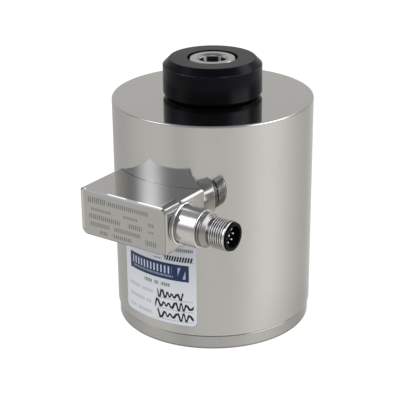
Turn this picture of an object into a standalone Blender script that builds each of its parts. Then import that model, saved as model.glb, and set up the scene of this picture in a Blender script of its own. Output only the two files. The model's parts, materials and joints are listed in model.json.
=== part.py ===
# Force transducer with a radial-beam spring element, a hardened load cap and an M12 connector.
# The origin is the middle of the base. +Z is up, the connector box looks along -Y and the
# connector points along +X. All lengths are in metres.

import bpy
import bmesh
from math import asin, cos, pi, radians, sin, sqrt
from mathutils import Matrix, Vector

MM = 0.001

# Gap between two pieces that touch, how far a cutter runs past a face, and how close
# two places are when they count as one
FIT = 0.3 * MM
PAST = 1.0 * MM
NEAR = 0.01 * MM

# Housing sleeve, a cup with its closed end up
BODY_RADIUS = 42.0 * MM
BODY_TOP = 97.4 * MM
SLEEVE_WALL = 8.5 * MM
SLEEVE_LID = 8.0 * MM
SLEEVE_EDGE = 0.5 * MM

# Base plate with its register and overload pad
BASE_HEIGHT = 5.8 * MM
BASE_STEP = 0.55 * MM
BASE_EDGE = 0.4 * MM
REGISTER_HEIGHT = 5.6 * MM
BASE_SEAL_RISE = 2.8 * MM
STOP_PAD_RADIUS = 8.0 * MM
STOP_GAP = 0.4 * MM

# Spring element: rim, four radial beams and hub
RIM_WIDTH = 9.7 * MM
RIM_HEIGHT = 18.0 * MM
BEAM_COUNT = 4
BEAM_WIDTH = 9.0 * MM
BEAM_THICKNESS = 6.0 * MM
BEAM_CLEARANCE = 6.0 * MM
HUB_RADIUS = 11.0 * MM
HUB_HEIGHT = 16.0 * MM
HUB_CLEARANCE = 4.0 * MM
WINDOW_MARGIN = 1.0 * MM
WINDOW_CORNER = 2.0 * MM
WINDOW_OUTER_POINTS = 5
WINDOW_INNER_POINTS = 3

# Strain gauges on the beams
GAUGE_MARGIN = 2.0 * MM
GAUGE_WIDTH = 5.0 * MM
GAUGE_THICKNESS = 0.3 * MM

# Load stem
STEM_RADIUS = 9.0 * MM
STEM_PILOT_RADIUS = 5.0 * MM
STEM_PILOT_SETBACK = 2.3 * MM
STEM_HEAD_RADIUS = 16.3 * MM
STEM_HEAD_HEIGHT = 24.0 * MM
STEM_BORE_RUN_OUT = 3.4 * MM
LID_GAP = 0.7 * MM

# Spacer tube and sealing diaphragm
SPACER_WALL = 4.0 * MM
DIAPHRAGM_THICKNESS = 0.5 * MM
DIAPHRAGM_WAVE = 1.2 * MM
DIAPHRAGM_WAVES = 2
DIAPHRAGM_NECK = 4.0 * MM
DIAPHRAGM_INNER_FLAT = 1.5 * MM
DIAPHRAGM_OUTER_FLAT = 1.0 * MM

# Load cap
CAP_RADIUS = 20.6 * MM
CAP_THICKNESS = 15.8 * MM
CAP_TOP_CHAMFER = 2.75 * MM
CAP_FOOT_CHAMFER = 1.5 * MM
CAP_WEB = 4.4 * MM
CAP_SINK_CLEARANCE = 0.7 * MM

# Cap screw
CAP_SCREW_HEAD_RADIUS = 9.7 * MM
CAP_SCREW_HEAD_HEIGHT = 10.8 * MM
CAP_SCREW_RIM_CHAMFER = 0.5 * MM
CAP_SCREW_SHANK_RADIUS = 6.0 * MM
CAP_SCREW_SHANK_LENGTH = 25.0 * MM
CAP_SCREW_KEY = 11.0 * MM
CAP_SCREW_KEY_DEPTH = 6.5 * MM
CAP_SCREW_KEY_CHAMFER = 0.1 * MM
CAP_SCREW_KEY_TURN = radians(4.2)
CAP_SCREW_TIP_CHAMFER = 0.8 * MM

# Sleeve screws, countersunk from below; element screws; box screws from inside the sleeve
SCREW_EDGE = 0.5 * MM
SLEEVE_SCREW_COUNT = 6
SLEEVE_SCREW_TURN = radians(30.0)
SLEEVE_SCREW_LAND = 0.7 * MM
SLEEVE_SCREW_SHANK = 1.5 * MM
SLEEVE_SCREW_HEAD = 3.0 * MM
SLEEVE_SCREW_LENGTH = 14.0 * MM
SLEEVE_SCREW_KEY = 2.0 * MM
SLEEVE_SCREW_KEY_DEPTH = 1.2 * MM
ELEMENT_SCREW_COUNT = 4
ELEMENT_SCREW_TURN = radians(45.0)
ELEMENT_SCREW_SHANK = 2.0 * MM
ELEMENT_SCREW_HEAD = 3.5 * MM
ELEMENT_SCREW_HEAD_HEIGHT = 4.0 * MM
ELEMENT_SCREW_GRIP = 12.0 * MM
ELEMENT_SCREW_ENGAGEMENT = 6.5 * MM
ELEMENT_SCREW_KEY = 3.0 * MM
ELEMENT_SCREW_KEY_DEPTH = 2.0 * MM
BOX_SCREW_SHANK = 1.5 * MM
BOX_SCREW_HEAD = 2.75 * MM
BOX_SCREW_HEAD_HEIGHT = 3.0 * MM
BOX_SCREW_KEY = 2.5 * MM
BOX_SCREW_KEY_DEPTH = 1.5 * MM
BOX_SCREW_GRIP = 4.0 * MM
BOX_SCREW_ENGAGEMENT = 5.4 * MM

# Terminal board on snap posts
BOARD_THICKNESS = 1.6 * MM
BOARD_STAND = 6.0 * MM
BOARD_INNER_RADIUS = 13.5 * MM
BOARD_MARGIN = 0.6 * MM
POST_COUNT = 4
POST_TURN = radians(20.0)
POST_INSET = 2.4 * MM
POST_RADIUS = 2.0 * MM
POST_FOOT_RADIUS = 1.3 * MM
POST_NECK_RADIUS = 1.1 * MM
POST_BARB_RADIUS = 1.6 * MM
POST_FOOT_DEPTH = 4.0 * MM

# Connector box, one milled block
BOX_LENGTH = 42.4 * MM
BOX_RIGHT = 20.5 * MM
BOX_BOTTOM = 51.75 * MM
BOX_HEIGHT = 19.85 * MM
BOX_FRONT_OFFSET = 11.4 * MM
BOX_FRONT_DEPTH = 10.4 * MM
BOX_TOP_LEFT_ROUND = 1.4 * MM
BOX_BOTTOM_LEFT_ROUND = 2.8 * MM
BOX_TOP_RIGHT_ROUND = 2.7 * MM
BOX_BOTTOM_RIGHT_ROUND = 2.0 * MM
BOX_REAR_RIGHT_BREAK = 0.6 * MM
BOX_FRONT_EDGE = 0.8 * MM
POCKET_LEFT_WALL = 12.9 * MM
POCKET_FRONT_WALL = 4.4 * MM
POCKET_FLOOR_WALL = 3.4 * MM
POCKET_CORNER = 3.0 * MM
BOX_SCREW_EDGE = 4.2 * MM
BOX_SCREW_RISE = 3.0 * MM
GASKET_MARGIN = 0.4 * MM
GASKET_WIDTH = 1.0 * MM
GASKET_THICKNESS = 0.7 * MM
PORT_RADIUS = 5.0 * MM

# Connector boss, screwed into the end of the box
CONNECTOR_OFFSET = 8.5 * MM
CONNECTOR_LIFT = 0.225 * MM
BOSS_RADIUS = 7.86 * MM
BOSS_LENGTH = 9.9 * MM
BOSS_EDGE = 0.5 * MM
BOSS_FLANGE_RADIUS = 8.7 * MM
BOSS_FLANGE_LENGTH = 0.6 * MM
BOSS_TAIL_RADIUS = 6.3 * MM
BOSS_BORE_RADIUS = 4.4 * MM
BOSS_SOCKET_DEPTH = 4.0 * MM

# M12 connector shell
SHELL_TAIL_RADIUS = 5.2 * MM
SHELL_TAIL_LENGTH = 3.4 * MM
SHELL_REAR_BORE_RADIUS = 4.2 * MM
SHELL_BORE_RADIUS = 4.9 * MM
SHELL_COLLAR_RADIUS = 6.9 * MM
SHELL_COLLAR_LENGTH = 1.6 * MM
SHELL_TAPER_LENGTH = 1.3 * MM
SHELL_NECK_RADIUS = 5.3 * MM
SHELL_NECK_LENGTH = 1.0 * MM
SHELL_BORE_STEP = 5.0 * MM
THREAD_RADIUS = 6.0 * MM
THREAD_DEPTH = 0.55 * MM
THREAD_PITCH = 1.0 * MM
THREAD_TURNS = 7
SHELL_LEAD_IN_LENGTH = 0.9 * MM
SHELL_LEAD_IN_DROP = 0.3 * MM

# Contact insert and its eight pins
INSERT_LIP_RADIUS = 5.5 * MM
INSERT_LIP_LENGTH = 0.65 * MM
INSERT_WALL = 0.35 * MM
INSERT_RECESS_DEPTH = 7.6 * MM
INSERT_TAIL_LENGTH = 3.0 * MM
INSERT_KEY_WIDTH = 0.9 * MM
INSERT_KEY_HEIGHT = 0.55 * MM
INSERT_KEY_SETBACK = 1.0 * MM
PIN_RADIUS = 0.45 * MM
PIN_CIRCLE = 2.75 * MM
PIN_RING_COUNT = 7
PIN_TIP_DEPTH = 2.0 * MM
PIN_TAIL = 2.0 * MM
PIN_TIP_TAPER = 0.35 * MM

# Seals
BASE_SEAL_SECTION = 0.8 * MM
BOSS_SEAL_SECTION = 0.6 * MM
BOSS_SEAL_PLACE = 2.2 * MM
SEAL_PLAY = 0.2 * MM

# Signal leads inside the housing
LEADS_RADIUS = 1.4 * MM
LEADS_DROP = 1.0 * MM

# Label on the sleeve under the box
LABEL_WIDTH = 36.5 * MM
LABEL_SHIFT = 0.4 * MM
LABEL_BOTTOM = 10.4 * MM
LABEL_GAP = 1.55 * MM
LABEL_CORNER = 2.0 * MM
LABEL_THICKNESS = 0.2 * MM

# Sides of the round forms
FINE_SIDES = 60
CAP_SIDES = 40
ROUND_SIDES = 32
MEDIUM_SIDES = 24
SMALL_SIDES = 20
TINY_SIDES = 10
PIN_SIDES = 6
HOLE_SIDES = 8

# Places that follow from the sizes
SLEEVE_BOTTOM = BASE_HEIGHT + FIT
SLEEVE_BORE = BODY_RADIUS - SLEEVE_WALL
LID_UNDERSIDE = BODY_TOP - SLEEVE_LID
LID_BORE = STEM_HEAD_RADIUS + LID_GAP
BASE_RADIUS = BODY_RADIUS - BASE_STEP
SLEEVE_SCREW_CIRCLE = BASE_RADIUS - SLEEVE_SCREW_LAND - SLEEVE_SCREW_HEAD - FIT
REGISTER_TOP = BASE_HEIGHT + REGISTER_HEIGHT
BASE_SEAL_HEIGHT = BASE_HEIGHT + BASE_SEAL_RISE
REGISTER_RADIUS = SLEEVE_BORE - FIT
RIM_BOTTOM = REGISTER_TOP + FIT
RIM_TOP = RIM_BOTTOM + RIM_HEIGHT
RIM_OUTER = SLEEVE_BORE - FIT
RIM_INNER = RIM_OUTER - RIM_WIDTH
BEAM_BOTTOM = RIM_BOTTOM + BEAM_CLEARANCE
BEAM_TOP = BEAM_BOTTOM + BEAM_THICKNESS
HUB_BOTTOM = RIM_BOTTOM + HUB_CLEARANCE
HUB_TOP = HUB_BOTTOM + HUB_HEIGHT
STOP_PAD_TOP = HUB_BOTTOM - STOP_GAP
ELEMENT_SCREW_CIRCLE = (RIM_INNER + RIM_OUTER) / 2
ELEMENT_SCREW_SEAT = RIM_BOTTOM + ELEMENT_SCREW_GRIP
SPACER_BOTTOM = RIM_TOP + FIT
SPACER_INNER = RIM_OUTER - SPACER_WALL
DIAPHRAGM_TOP = LID_UNDERSIDE - FIT
SPACER_TOP = DIAPHRAGM_TOP - DIAPHRAGM_THICKNESS - FIT
CAP_BOTTOM = BODY_TOP + FIT
CAP_TOP = CAP_BOTTOM + CAP_THICKNESS
CAP_SINK_RADIUS = CAP_SCREW_HEAD_RADIUS + CAP_SINK_CLEARANCE
CAP_SINK_FLOOR = CAP_BOTTOM + CAP_WEB
CAP_SCREW_SEAT = CAP_SINK_FLOOR + FIT
CAP_SCREW_TIP = CAP_SCREW_SEAT - CAP_SCREW_SHANK_LENGTH
SHANK_HOLE_RADIUS = CAP_SCREW_SHANK_RADIUS + FIT
BOARD_BOTTOM = RIM_TOP + BOARD_STAND
BOARD_TOP = BOARD_BOTTOM + BOARD_THICKNESS
BOARD_OUTER = SPACER_INNER - BOARD_MARGIN
BOARD_MIDDLE = (BOARD_INNER_RADIUS + BOARD_OUTER) / 2
POST_CIRCLE = RIM_INNER + POST_INSET
BOX_LEFT = BOX_RIGHT - BOX_LENGTH
BOX_TOP = BOX_BOTTOM + BOX_HEIGHT
CONNECTOR_REACH = BODY_RADIUS + CONNECTOR_OFFSET
CONNECTOR_HEIGHT = (BOX_BOTTOM + BOX_TOP) / 2 + CONNECTOR_LIFT
BOX_REACH = CONNECTOR_REACH + BOX_FRONT_OFFSET
GASKET_RECESS = GASKET_MARGIN + GASKET_WIDTH + FIT
POCKET_LEFT = BOX_LEFT + POCKET_LEFT_WALL
POCKET_RIGHT = BOX_RIGHT - BOX_SCREW_EDGE - BOX_SCREW_SHANK - GASKET_RECESS - 2 * FIT
POCKET_BOTTOM = BOX_BOTTOM + POCKET_FLOOR_WALL
POCKET_TOP = BOX_TOP - POCKET_FLOOR_WALL
POCKET_FRONT = BOX_REACH - POCKET_FRONT_WALL
SADDLE_RADIUS = BODY_RADIUS + FIT
BOSS_START = BOX_RIGHT + FIT
BOSS_END = BOSS_START + BOSS_LENGTH
BOSS_TAIL_START = POCKET_RIGHT + FIT
SHELL_START = BOSS_END + FIT
THREAD_START = SHELL_START + SHELL_COLLAR_LENGTH + SHELL_TAPER_LENGTH + SHELL_NECK_LENGTH
THREAD_END = THREAD_START + THREAD_TURNS * THREAD_PITCH
SHELL_END = THREAD_END + SHELL_LEAD_IN_LENGTH
INSERT_BODY_RADIUS = SHELL_BORE_RADIUS - FIT
INSERT_TAIL_RADIUS = SHELL_REAR_BORE_RADIUS - FIT
INSERT_END = SHELL_END + FIT + INSERT_LIP_LENGTH
INSERT_RECESS_RADIUS = INSERT_BODY_RADIUS - INSERT_WALL
INSERT_FLOOR = INSERT_END - INSERT_RECESS_DEPTH
INSERT_STEP = SHELL_START + SHELL_BORE_STEP - SHELL_TAIL_LENGTH + FIT
INSERT_START = INSERT_STEP - INSERT_TAIL_LENGTH
PIN_TIP = INSERT_END - PIN_TIP_DEPTH
PIN_START = INSERT_START - PIN_TAIL

# Colour, roughness and metallic value of each material
FINISHES = {
    "polished_steel": ((0.56, 0.55, 0.53), 0.16, 1.0),
    "machined_steel": ((0.50, 0.49, 0.47), 0.32, 1.0),
    "black_cap": ((0.012, 0.012, 0.014), 0.24, 0.0),
    "nickel": ((0.66, 0.64, 0.61), 0.18, 1.0),
    "screw_steel": ((0.42, 0.41, 0.40), 0.30, 1.0),
    "black_plastic": ((0.015, 0.015, 0.016), 0.40, 0.0),
    "gold_contact": ((0.80, 0.58, 0.26), 0.22, 1.0),
    "seal_rubber": ((0.020, 0.020, 0.022), 0.70, 0.0),
    "board_laminate": ((0.05, 0.20, 0.09), 0.45, 0.0),
    "gauge_foil": ((0.45, 0.30, 0.10), 0.45, 0.0),
    "white_plastic": ((0.72, 0.71, 0.68), 0.45, 0.0),
    "lead_sheath": ((0.30, 0.30, 0.31), 0.50, 0.0),
    "label_film": ((0.66, 0.67, 0.69), 0.40, 0.0),
}


def clear_scene():
    for obj in list(bpy.data.objects):
        bpy.data.objects.remove(obj, do_unlink=True)


def make_collection(name):
    group = bpy.data.collections.new(name)
    bpy.context.scene.collection.children.link(group)
    return group


def make_materials():
    made = {}
    for name, (colour, roughness, metallic) in FINISHES.items():
        material = bpy.data.materials.new(name)
        material.use_nodes = True
        shader = material.node_tree.nodes["Principled BSDF"]
        shader.inputs["Base Color"].default_value = (*colour, 1.0)
        shader.inputs["Roughness"].default_value = roughness
        shader.inputs["Metallic"].default_value = metallic
        made[name] = material
    return made


clear_scene()
PARTS = make_collection("force_transducer")
CUTTERS = make_collection("cutters")
MATERIALS = make_materials()


def place(obj, material=None):
    """Put an object among the parts, or among the cutters when it has no material."""
    if material is None:
        CUTTERS.objects.link(obj)
        obj.hide_render = True
        obj.display_type = "WIRE"
    else:
        PARTS.objects.link(obj)
        obj.data.materials.append(MATERIALS[material])
    return obj


def from_bmesh(name, shape, material=None):
    mesh = bpy.data.meshes.new(name)
    bmesh.ops.recalc_face_normals(shape, faces=shape.faces)
    shape.to_mesh(mesh)
    shape.free()
    return place(bpy.data.objects.new(name, mesh), material)


def smooth(obj, angle=32.0):
    obj.data.shade_smooth()
    obj.data.set_sharp_from_angle(angle=radians(angle))


def turned(name, profile, sides, material=None, closed=True, axis="Z", at=(0.0, 0.0, 0.0)):
    """Turn a profile of (radius, height) points that runs down the outer side."""
    mesh = bpy.data.meshes.new(name)
    points = [(radius, 0.0, height) for radius, height in profile]
    edges = [(i, i + 1) for i in range(len(points) - 1)]
    if closed:
        edges.append((len(points) - 1, 0))
    mesh.from_pydata(points, edges, [])
    obj = place(bpy.data.objects.new(name, mesh), material)
    screw = obj.modifiers.new("turn", "SCREW")
    screw.angle = 2 * pi
    screw.steps = sides
    screw.render_steps = sides
    screw.use_merge_vertices = True
    screw.merge_threshold = 0.00001
    screw.use_normal_calculate = False
    obj.location = at
    if axis == "X":
        obj.rotation_euler = (0.0, pi / 2, 0.0)
    if axis == "Y":
        obj.rotation_euler = (pi / 2, 0.0, 0.0)
    return obj


def rod(name, radius, start, end, sides, axis="Z", at=(0.0, 0.0, 0.0)):
    """A plain round cutter from start to end along an axis; along Y it runs towards -Y."""
    return turned(name, [(0.0, end), (radius, end), (radius, start), (0.0, start)],
                  sides, None, False, axis, at)


def hexagon(name, across_flats, start, end, axis="Z", at=(0.0, 0.0, 0.0), turn=0.0):
    """A hexagonal cutter, for a key socket."""
    shape = bmesh.new()
    radius = across_flats / sqrt(3)
    bmesh.ops.create_cone(shape, cap_ends=True, segments=6, radius1=radius, radius2=radius,
                          depth=end - start)
    bmesh.ops.rotate(shape, verts=shape.verts, cent=(0, 0, 0),
                     matrix=Matrix.Rotation(turn, 3, "Z"))
    bmesh.ops.translate(shape, verts=shape.verts, vec=(0.0, 0.0, (start + end) / 2))
    obj = from_bmesh(name, shape)
    obj.location = at
    if axis == "Y":
        obj.rotation_euler = (pi / 2, 0.0, 0.0)
    return obj


def block(name, low, high, material=None, rounds=None, sides=3):
    """A box between two corners; rounds gives the radius of each edge along Y by its side."""
    shape = bmesh.new()
    bmesh.ops.create_cube(shape, size=1.0)
    size = Vector(high) - Vector(low)
    middle = (Vector(high) + Vector(low)) / 2
    bmesh.ops.scale(shape, verts=shape.verts, vec=size)
    for (right, up), radius in (rounds or {}).items():
        edge = [e for e in shape.edges
                if all(v.co.x * right > size.x / 2 - NEAR for v in e.verts)
                and all(v.co.z * up > size.z / 2 - NEAR for v in e.verts)]
        bmesh.ops.bevel(shape, geom=edge, offset=radius, segments=sides,
                        profile=0.5, affect="EDGES")
    bmesh.ops.translate(shape, verts=shape.verts, vec=middle)
    return from_bmesh(name, shape, material)


def all_round(radius):
    return {(side, end): radius for side in (-1, 1) for end in (-1, 1)}


def combine(obj, other, operation="DIFFERENCE"):
    boolean = obj.modifiers.new(operation.lower(), "BOOLEAN")
    boolean.operation = operation
    boolean.solver = "EXACT"
    boolean.object = other
    return obj


def on_circle(radius, angle, height=0.0):
    return (radius * cos(angle), radius * sin(angle), height)


def ring_angles(count, offset=0.0):
    return [offset + 2 * pi * i / count for i in range(count)]


def spaced(low, high, count):
    return [low + (high - low) * i / (count - 1) for i in range(count)]


# Screws

def sleeve_screws():
    """Countersunk screws that pull the sleeve down on the base plate."""
    sink = FIT
    tip = sink + SLEEVE_SCREW_LENGTH
    cone = SLEEVE_SCREW_HEAD - SLEEVE_SCREW_SHANK
    profile = [(0.0, tip), (SLEEVE_SCREW_SHANK - SCREW_EDGE, tip),
               (SLEEVE_SCREW_SHANK, tip - SCREW_EDGE),
               (SLEEVE_SCREW_SHANK, sink + cone), (SLEEVE_SCREW_HEAD, sink), (0.0, sink)]
    for number, angle in enumerate(ring_angles(SLEEVE_SCREW_COUNT, SLEEVE_SCREW_TURN), 1):
        name = f"sleeve_screw_{number}"
        at = on_circle(SLEEVE_SCREW_CIRCLE, angle)
        screw = turned(name, profile, TINY_SIDES, "screw_steel", False, "Z", at)
        combine(screw, hexagon(name + "_key", SLEEVE_SCREW_KEY, -PAST,
                               sink + SLEEVE_SCREW_KEY_DEPTH, "Z", at))
        smooth(screw)


def element_screws():
    """Cylinder-head screws that hold the spring element's rim on the register."""
    seat = ELEMENT_SCREW_SEAT + FIT
    top = seat + ELEMENT_SCREW_HEAD_HEIGHT
    tip = REGISTER_TOP - ELEMENT_SCREW_ENGAGEMENT
    profile = [(0.0, top), (ELEMENT_SCREW_HEAD - SCREW_EDGE, top),
               (ELEMENT_SCREW_HEAD, top - SCREW_EDGE), (ELEMENT_SCREW_HEAD, seat),
               (ELEMENT_SCREW_SHANK, seat), (ELEMENT_SCREW_SHANK, tip + SCREW_EDGE),
               (ELEMENT_SCREW_SHANK - SCREW_EDGE, tip), (0.0, tip)]
    for number, angle in enumerate(ring_angles(ELEMENT_SCREW_COUNT, ELEMENT_SCREW_TURN), 1):
        name = f"element_screw_{number}"
        at = on_circle(ELEMENT_SCREW_CIRCLE, angle)
        screw = turned(name, profile, TINY_SIDES, "screw_steel", False, "Z", at)
        combine(screw, hexagon(name + "_key", ELEMENT_SCREW_KEY,
                               top - ELEMENT_SCREW_KEY_DEPTH, top + PAST, "Z", at))
        smooth(screw)


def box_screw_places():
    """Side and height of each screw, with its seat and the sleeve's outside there."""
    places = []
    for x in (BOX_LEFT + BOX_SCREW_EDGE, BOX_RIGHT - BOX_SCREW_EDGE):
        outside = sqrt(BODY_RADIUS ** 2 - x ** 2)
        for z in (BOX_BOTTOM + BOX_SCREW_RISE, BOX_TOP - BOX_SCREW_RISE):
            places.append((x, z, outside - BOX_SCREW_GRIP, outside))
    return places


def box_screws():
    """Screws from inside the sleeve; their heads point towards the middle."""
    for number, (x, z, seat, outside) in enumerate(box_screw_places(), 1):
        name = f"box_screw_{number}"
        base = seat - FIT
        top = base - BOX_SCREW_HEAD_HEIGHT
        tip = outside + BOX_SCREW_ENGAGEMENT
        profile = [(0.0, tip), (BOX_SCREW_SHANK - SCREW_EDGE, tip),
                   (BOX_SCREW_SHANK, tip - SCREW_EDGE), (BOX_SCREW_SHANK, base),
                   (BOX_SCREW_HEAD, base), (BOX_SCREW_HEAD, top + SCREW_EDGE),
                   (BOX_SCREW_HEAD - SCREW_EDGE, top), (0.0, top)]
        screw = turned(name, profile, TINY_SIDES, "screw_steel", False, "Y", (x, 0.0, z))
        combine(screw, hexagon(name + "_key", BOX_SCREW_KEY, top - PAST,
                               top + BOX_SCREW_KEY_DEPTH, "Y", (x, 0.0, z)))
        smooth(screw)


# Housing

def housing_sleeve():
    sleeve = turned("housing_sleeve", [
        (LID_BORE, BODY_TOP),
        (BODY_RADIUS - SLEEVE_EDGE, BODY_TOP),
        (BODY_RADIUS, BODY_TOP - SLEEVE_EDGE),
        (BODY_RADIUS, SLEEVE_BOTTOM + BASE_EDGE),
        (BODY_RADIUS - BASE_EDGE, SLEEVE_BOTTOM),
        (SLEEVE_BORE, SLEEVE_BOTTOM),
        (SLEEVE_BORE, LID_UNDERSIDE),
        (LID_BORE, LID_UNDERSIDE),
    ], FINE_SIDES, "polished_steel")
    middle = (0.0, 0.0, CONNECTOR_HEIGHT)
    combine(sleeve, rod("sleeve_port", PORT_RADIUS, SLEEVE_BORE / 2, BODY_RADIUS + PAST,
                        SMALL_SIDES, "Y", middle))
    for number, (x, z, seat, outside) in enumerate(box_screw_places(), 1):
        combine(sleeve, rod(f"box_screw_seat_{number}", BOX_SCREW_HEAD + FIT,
                            SLEEVE_BORE / 2, seat, TINY_SIDES, "Y", (x, 0.0, z)))
        combine(sleeve, rod(f"box_screw_hole_{number}", BOX_SCREW_SHANK + FIT,
                            seat - PAST, BODY_RADIUS + PAST, HOLE_SIDES, "Y", (x, 0.0, z)))
    for number, angle in enumerate(ring_angles(SLEEVE_SCREW_COUNT, SLEEVE_SCREW_TURN), 1):
        combine(sleeve, rod(f"sleeve_tapping_{number}", SLEEVE_SCREW_SHANK + FIT,
                            SLEEVE_BOTTOM - PAST, SLEEVE_SCREW_LENGTH + 2 * PAST,
                            HOLE_SIDES, "Z",
                            on_circle(SLEEVE_SCREW_CIRCLE, angle)))
    smooth(sleeve)


def base_plate():
    """Disc, register for the sleeve, seal groove and the pad that stops an overload."""
    seal_middle = SLEEVE_BORE - SEAL_PLAY - BASE_SEAL_SECTION
    groove_radius = seal_middle - BASE_SEAL_SECTION - SEAL_PLAY
    groove_half = BASE_SEAL_SECTION + SEAL_PLAY
    plate = turned("base_plate", [
        (0.0, STOP_PAD_TOP),
        (STOP_PAD_RADIUS, STOP_PAD_TOP),
        (STOP_PAD_RADIUS, REGISTER_TOP),
        (REGISTER_RADIUS, REGISTER_TOP),
        (REGISTER_RADIUS, BASE_SEAL_HEIGHT + groove_half),
        (groove_radius, BASE_SEAL_HEIGHT + groove_half),
        (groove_radius, BASE_SEAL_HEIGHT - groove_half),
        (REGISTER_RADIUS, BASE_SEAL_HEIGHT - groove_half),
        (REGISTER_RADIUS, BASE_HEIGHT),
        (BASE_RADIUS, BASE_HEIGHT),
        (BASE_RADIUS, BASE_EDGE),
        (BASE_RADIUS - BASE_EDGE, 0.0),
        (0.0, 0.0),
    ], FINE_SIDES, "polished_steel", False)
    hole = SLEEVE_SCREW_SHANK + FIT
    sink = SLEEVE_SCREW_HEAD + FIT
    for number, angle in enumerate(ring_angles(SLEEVE_SCREW_COUNT, SLEEVE_SCREW_TURN), 1):
        combine(plate, turned(f"countersink_{number}", [
            (0.0, BASE_HEIGHT + PAST), (hole, BASE_HEIGHT + PAST),
            (hole, FIT + sink - hole), (sink, FIT), (sink, -PAST), (0.0, -PAST),
        ], TINY_SIDES, None, False, "Z", on_circle(SLEEVE_SCREW_CIRCLE, angle)))
    for number, angle in enumerate(ring_angles(ELEMENT_SCREW_COUNT, ELEMENT_SCREW_TURN), 1):
        combine(plate, rod(f"element_tapping_{number}", ELEMENT_SCREW_SHANK + FIT,
                           REGISTER_TOP - ELEMENT_SCREW_ENGAGEMENT - FIT, REGISTER_TOP + PAST,
                           HOLE_SIDES, "Z", on_circle(ELEMENT_SCREW_CIRCLE, angle)))
    smooth(plate)
    seal_ring("base_seal", seal_middle, BASE_SEAL_SECTION, BASE_SEAL_HEIGHT, ROUND_SIDES)


def seal_ring(name, radius, section, height, sides, axis="Z", at=(0.0, 0.0, 0.0)):
    profile = [(radius + section * cos(a), height - section * sin(a))
               for a in ring_angles(6)]
    ring = turned(name, profile, sides, "seal_rubber", True, axis, at)
    smooth(ring, 70.0)


# Measuring parts

def spring_element():
    """Rim, thin web and hub turned as one; four windows leave four radial beams."""
    bore = STEM_PILOT_RADIUS + FIT
    element = turned("spring_element", [
        (RIM_INNER, RIM_TOP),
        (RIM_OUTER, RIM_TOP),
        (RIM_OUTER, RIM_BOTTOM),
        (RIM_INNER, RIM_BOTTOM),
        (RIM_INNER, BEAM_BOTTOM),
        (HUB_RADIUS, BEAM_BOTTOM),
        (HUB_RADIUS, HUB_BOTTOM),
        (bore, HUB_BOTTOM),
        (bore, HUB_TOP),
        (HUB_RADIUS, HUB_TOP),
        (HUB_RADIUS, BEAM_TOP),
        (RIM_INNER, BEAM_TOP),
    ], ROUND_SIDES, "machined_steel")
    low = BEAM_BOTTOM - PAST
    high = BEAM_TOP + PAST
    for number, angle in enumerate(ring_angles(BEAM_COUNT, pi / BEAM_COUNT), 1):
        combine(element, window_cutter(f"beam_window_{number}", angle, low, high))
    for number, angle in enumerate(ring_angles(ELEMENT_SCREW_COUNT, ELEMENT_SCREW_TURN), 1):
        at = on_circle(ELEMENT_SCREW_CIRCLE, angle)
        combine(element, turned(f"element_sink_{number}", [
            (0.0, RIM_TOP + PAST), (ELEMENT_SCREW_HEAD + FIT, RIM_TOP + PAST),
            (ELEMENT_SCREW_HEAD + FIT, ELEMENT_SCREW_SEAT),
            (ELEMENT_SCREW_SHANK + FIT, ELEMENT_SCREW_SEAT),
            (ELEMENT_SCREW_SHANK + FIT, RIM_BOTTOM - PAST), (0.0, RIM_BOTTOM - PAST),
        ], TINY_SIDES, None, False, "Z", at))
    for number, angle in enumerate(ring_angles(POST_COUNT, POST_TURN), 1):
        combine(element, rod(f"post_hole_{number}", POST_FOOT_RADIUS + FIT,
                             RIM_TOP - POST_FOOT_DEPTH - FIT, RIM_TOP + PAST, HOLE_SIDES, "Z",
                             on_circle(POST_CIRCLE, angle)))
    smooth(element)


def window_cutter(name, angle, low, high):
    """A window between two beams, the hub and the rim, with rounded corners."""
    half = BEAM_WIDTH / 2
    shape = bmesh.new()
    outline = []
    for radius, turns, count in ((RIM_INNER - WINDOW_MARGIN, 1, WINDOW_OUTER_POINTS),
                                 (HUB_RADIUS + WINDOW_MARGIN, -1, WINDOW_INNER_POINTS)):
        reach = pi / BEAM_COUNT - asin(half / radius)
        for place in spaced(-reach * turns, reach * turns, count):
            outline.append(shape.verts.new((radius * cos(angle + place),
                                            radius * sin(angle + place), low)))
    floor = shape.faces.new(outline)
    made = bmesh.ops.extrude_face_region(shape, geom=[floor])
    lifted = [v for v in made["geom"] if isinstance(v, bmesh.types.BMVert)]
    bmesh.ops.translate(shape, verts=lifted, vec=(0.0, 0.0, high - low))
    depth = RIM_INNER - HUB_RADIUS - 2 * WINDOW_MARGIN
    corners = [outline[0], outline[WINDOW_OUTER_POINTS - 1], outline[WINDOW_OUTER_POINTS],
               outline[-1]]
    uprights = [e for v in corners for e in v.link_edges
                if abs(e.verts[0].co.z - e.verts[1].co.z) > (high - low) / 2]
    bmesh.ops.bevel(shape, geom=uprights, offset=min(WINDOW_CORNER, depth / 3), segments=2,
                    profile=0.5, affect="EDGES")
    return from_bmesh(name, shape)


def strain_gauges():
    """Foil gauges above and below each beam, between hub and rim."""
    number = 0
    for angle in ring_angles(BEAM_COUNT):
        for bottom in (BEAM_TOP + FIT, BEAM_BOTTOM - FIT - GAUGE_THICKNESS):
            number += 1
            gauge = block(f"strain_gauge_{number}",
                          (HUB_RADIUS + GAUGE_MARGIN, -GAUGE_WIDTH / 2, bottom),
                          (RIM_INNER - GAUGE_MARGIN, GAUGE_WIDTH / 2,
                           bottom + GAUGE_THICKNESS), "gauge_foil")
            gauge.rotation_euler = (0.0, 0.0, angle)


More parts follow.
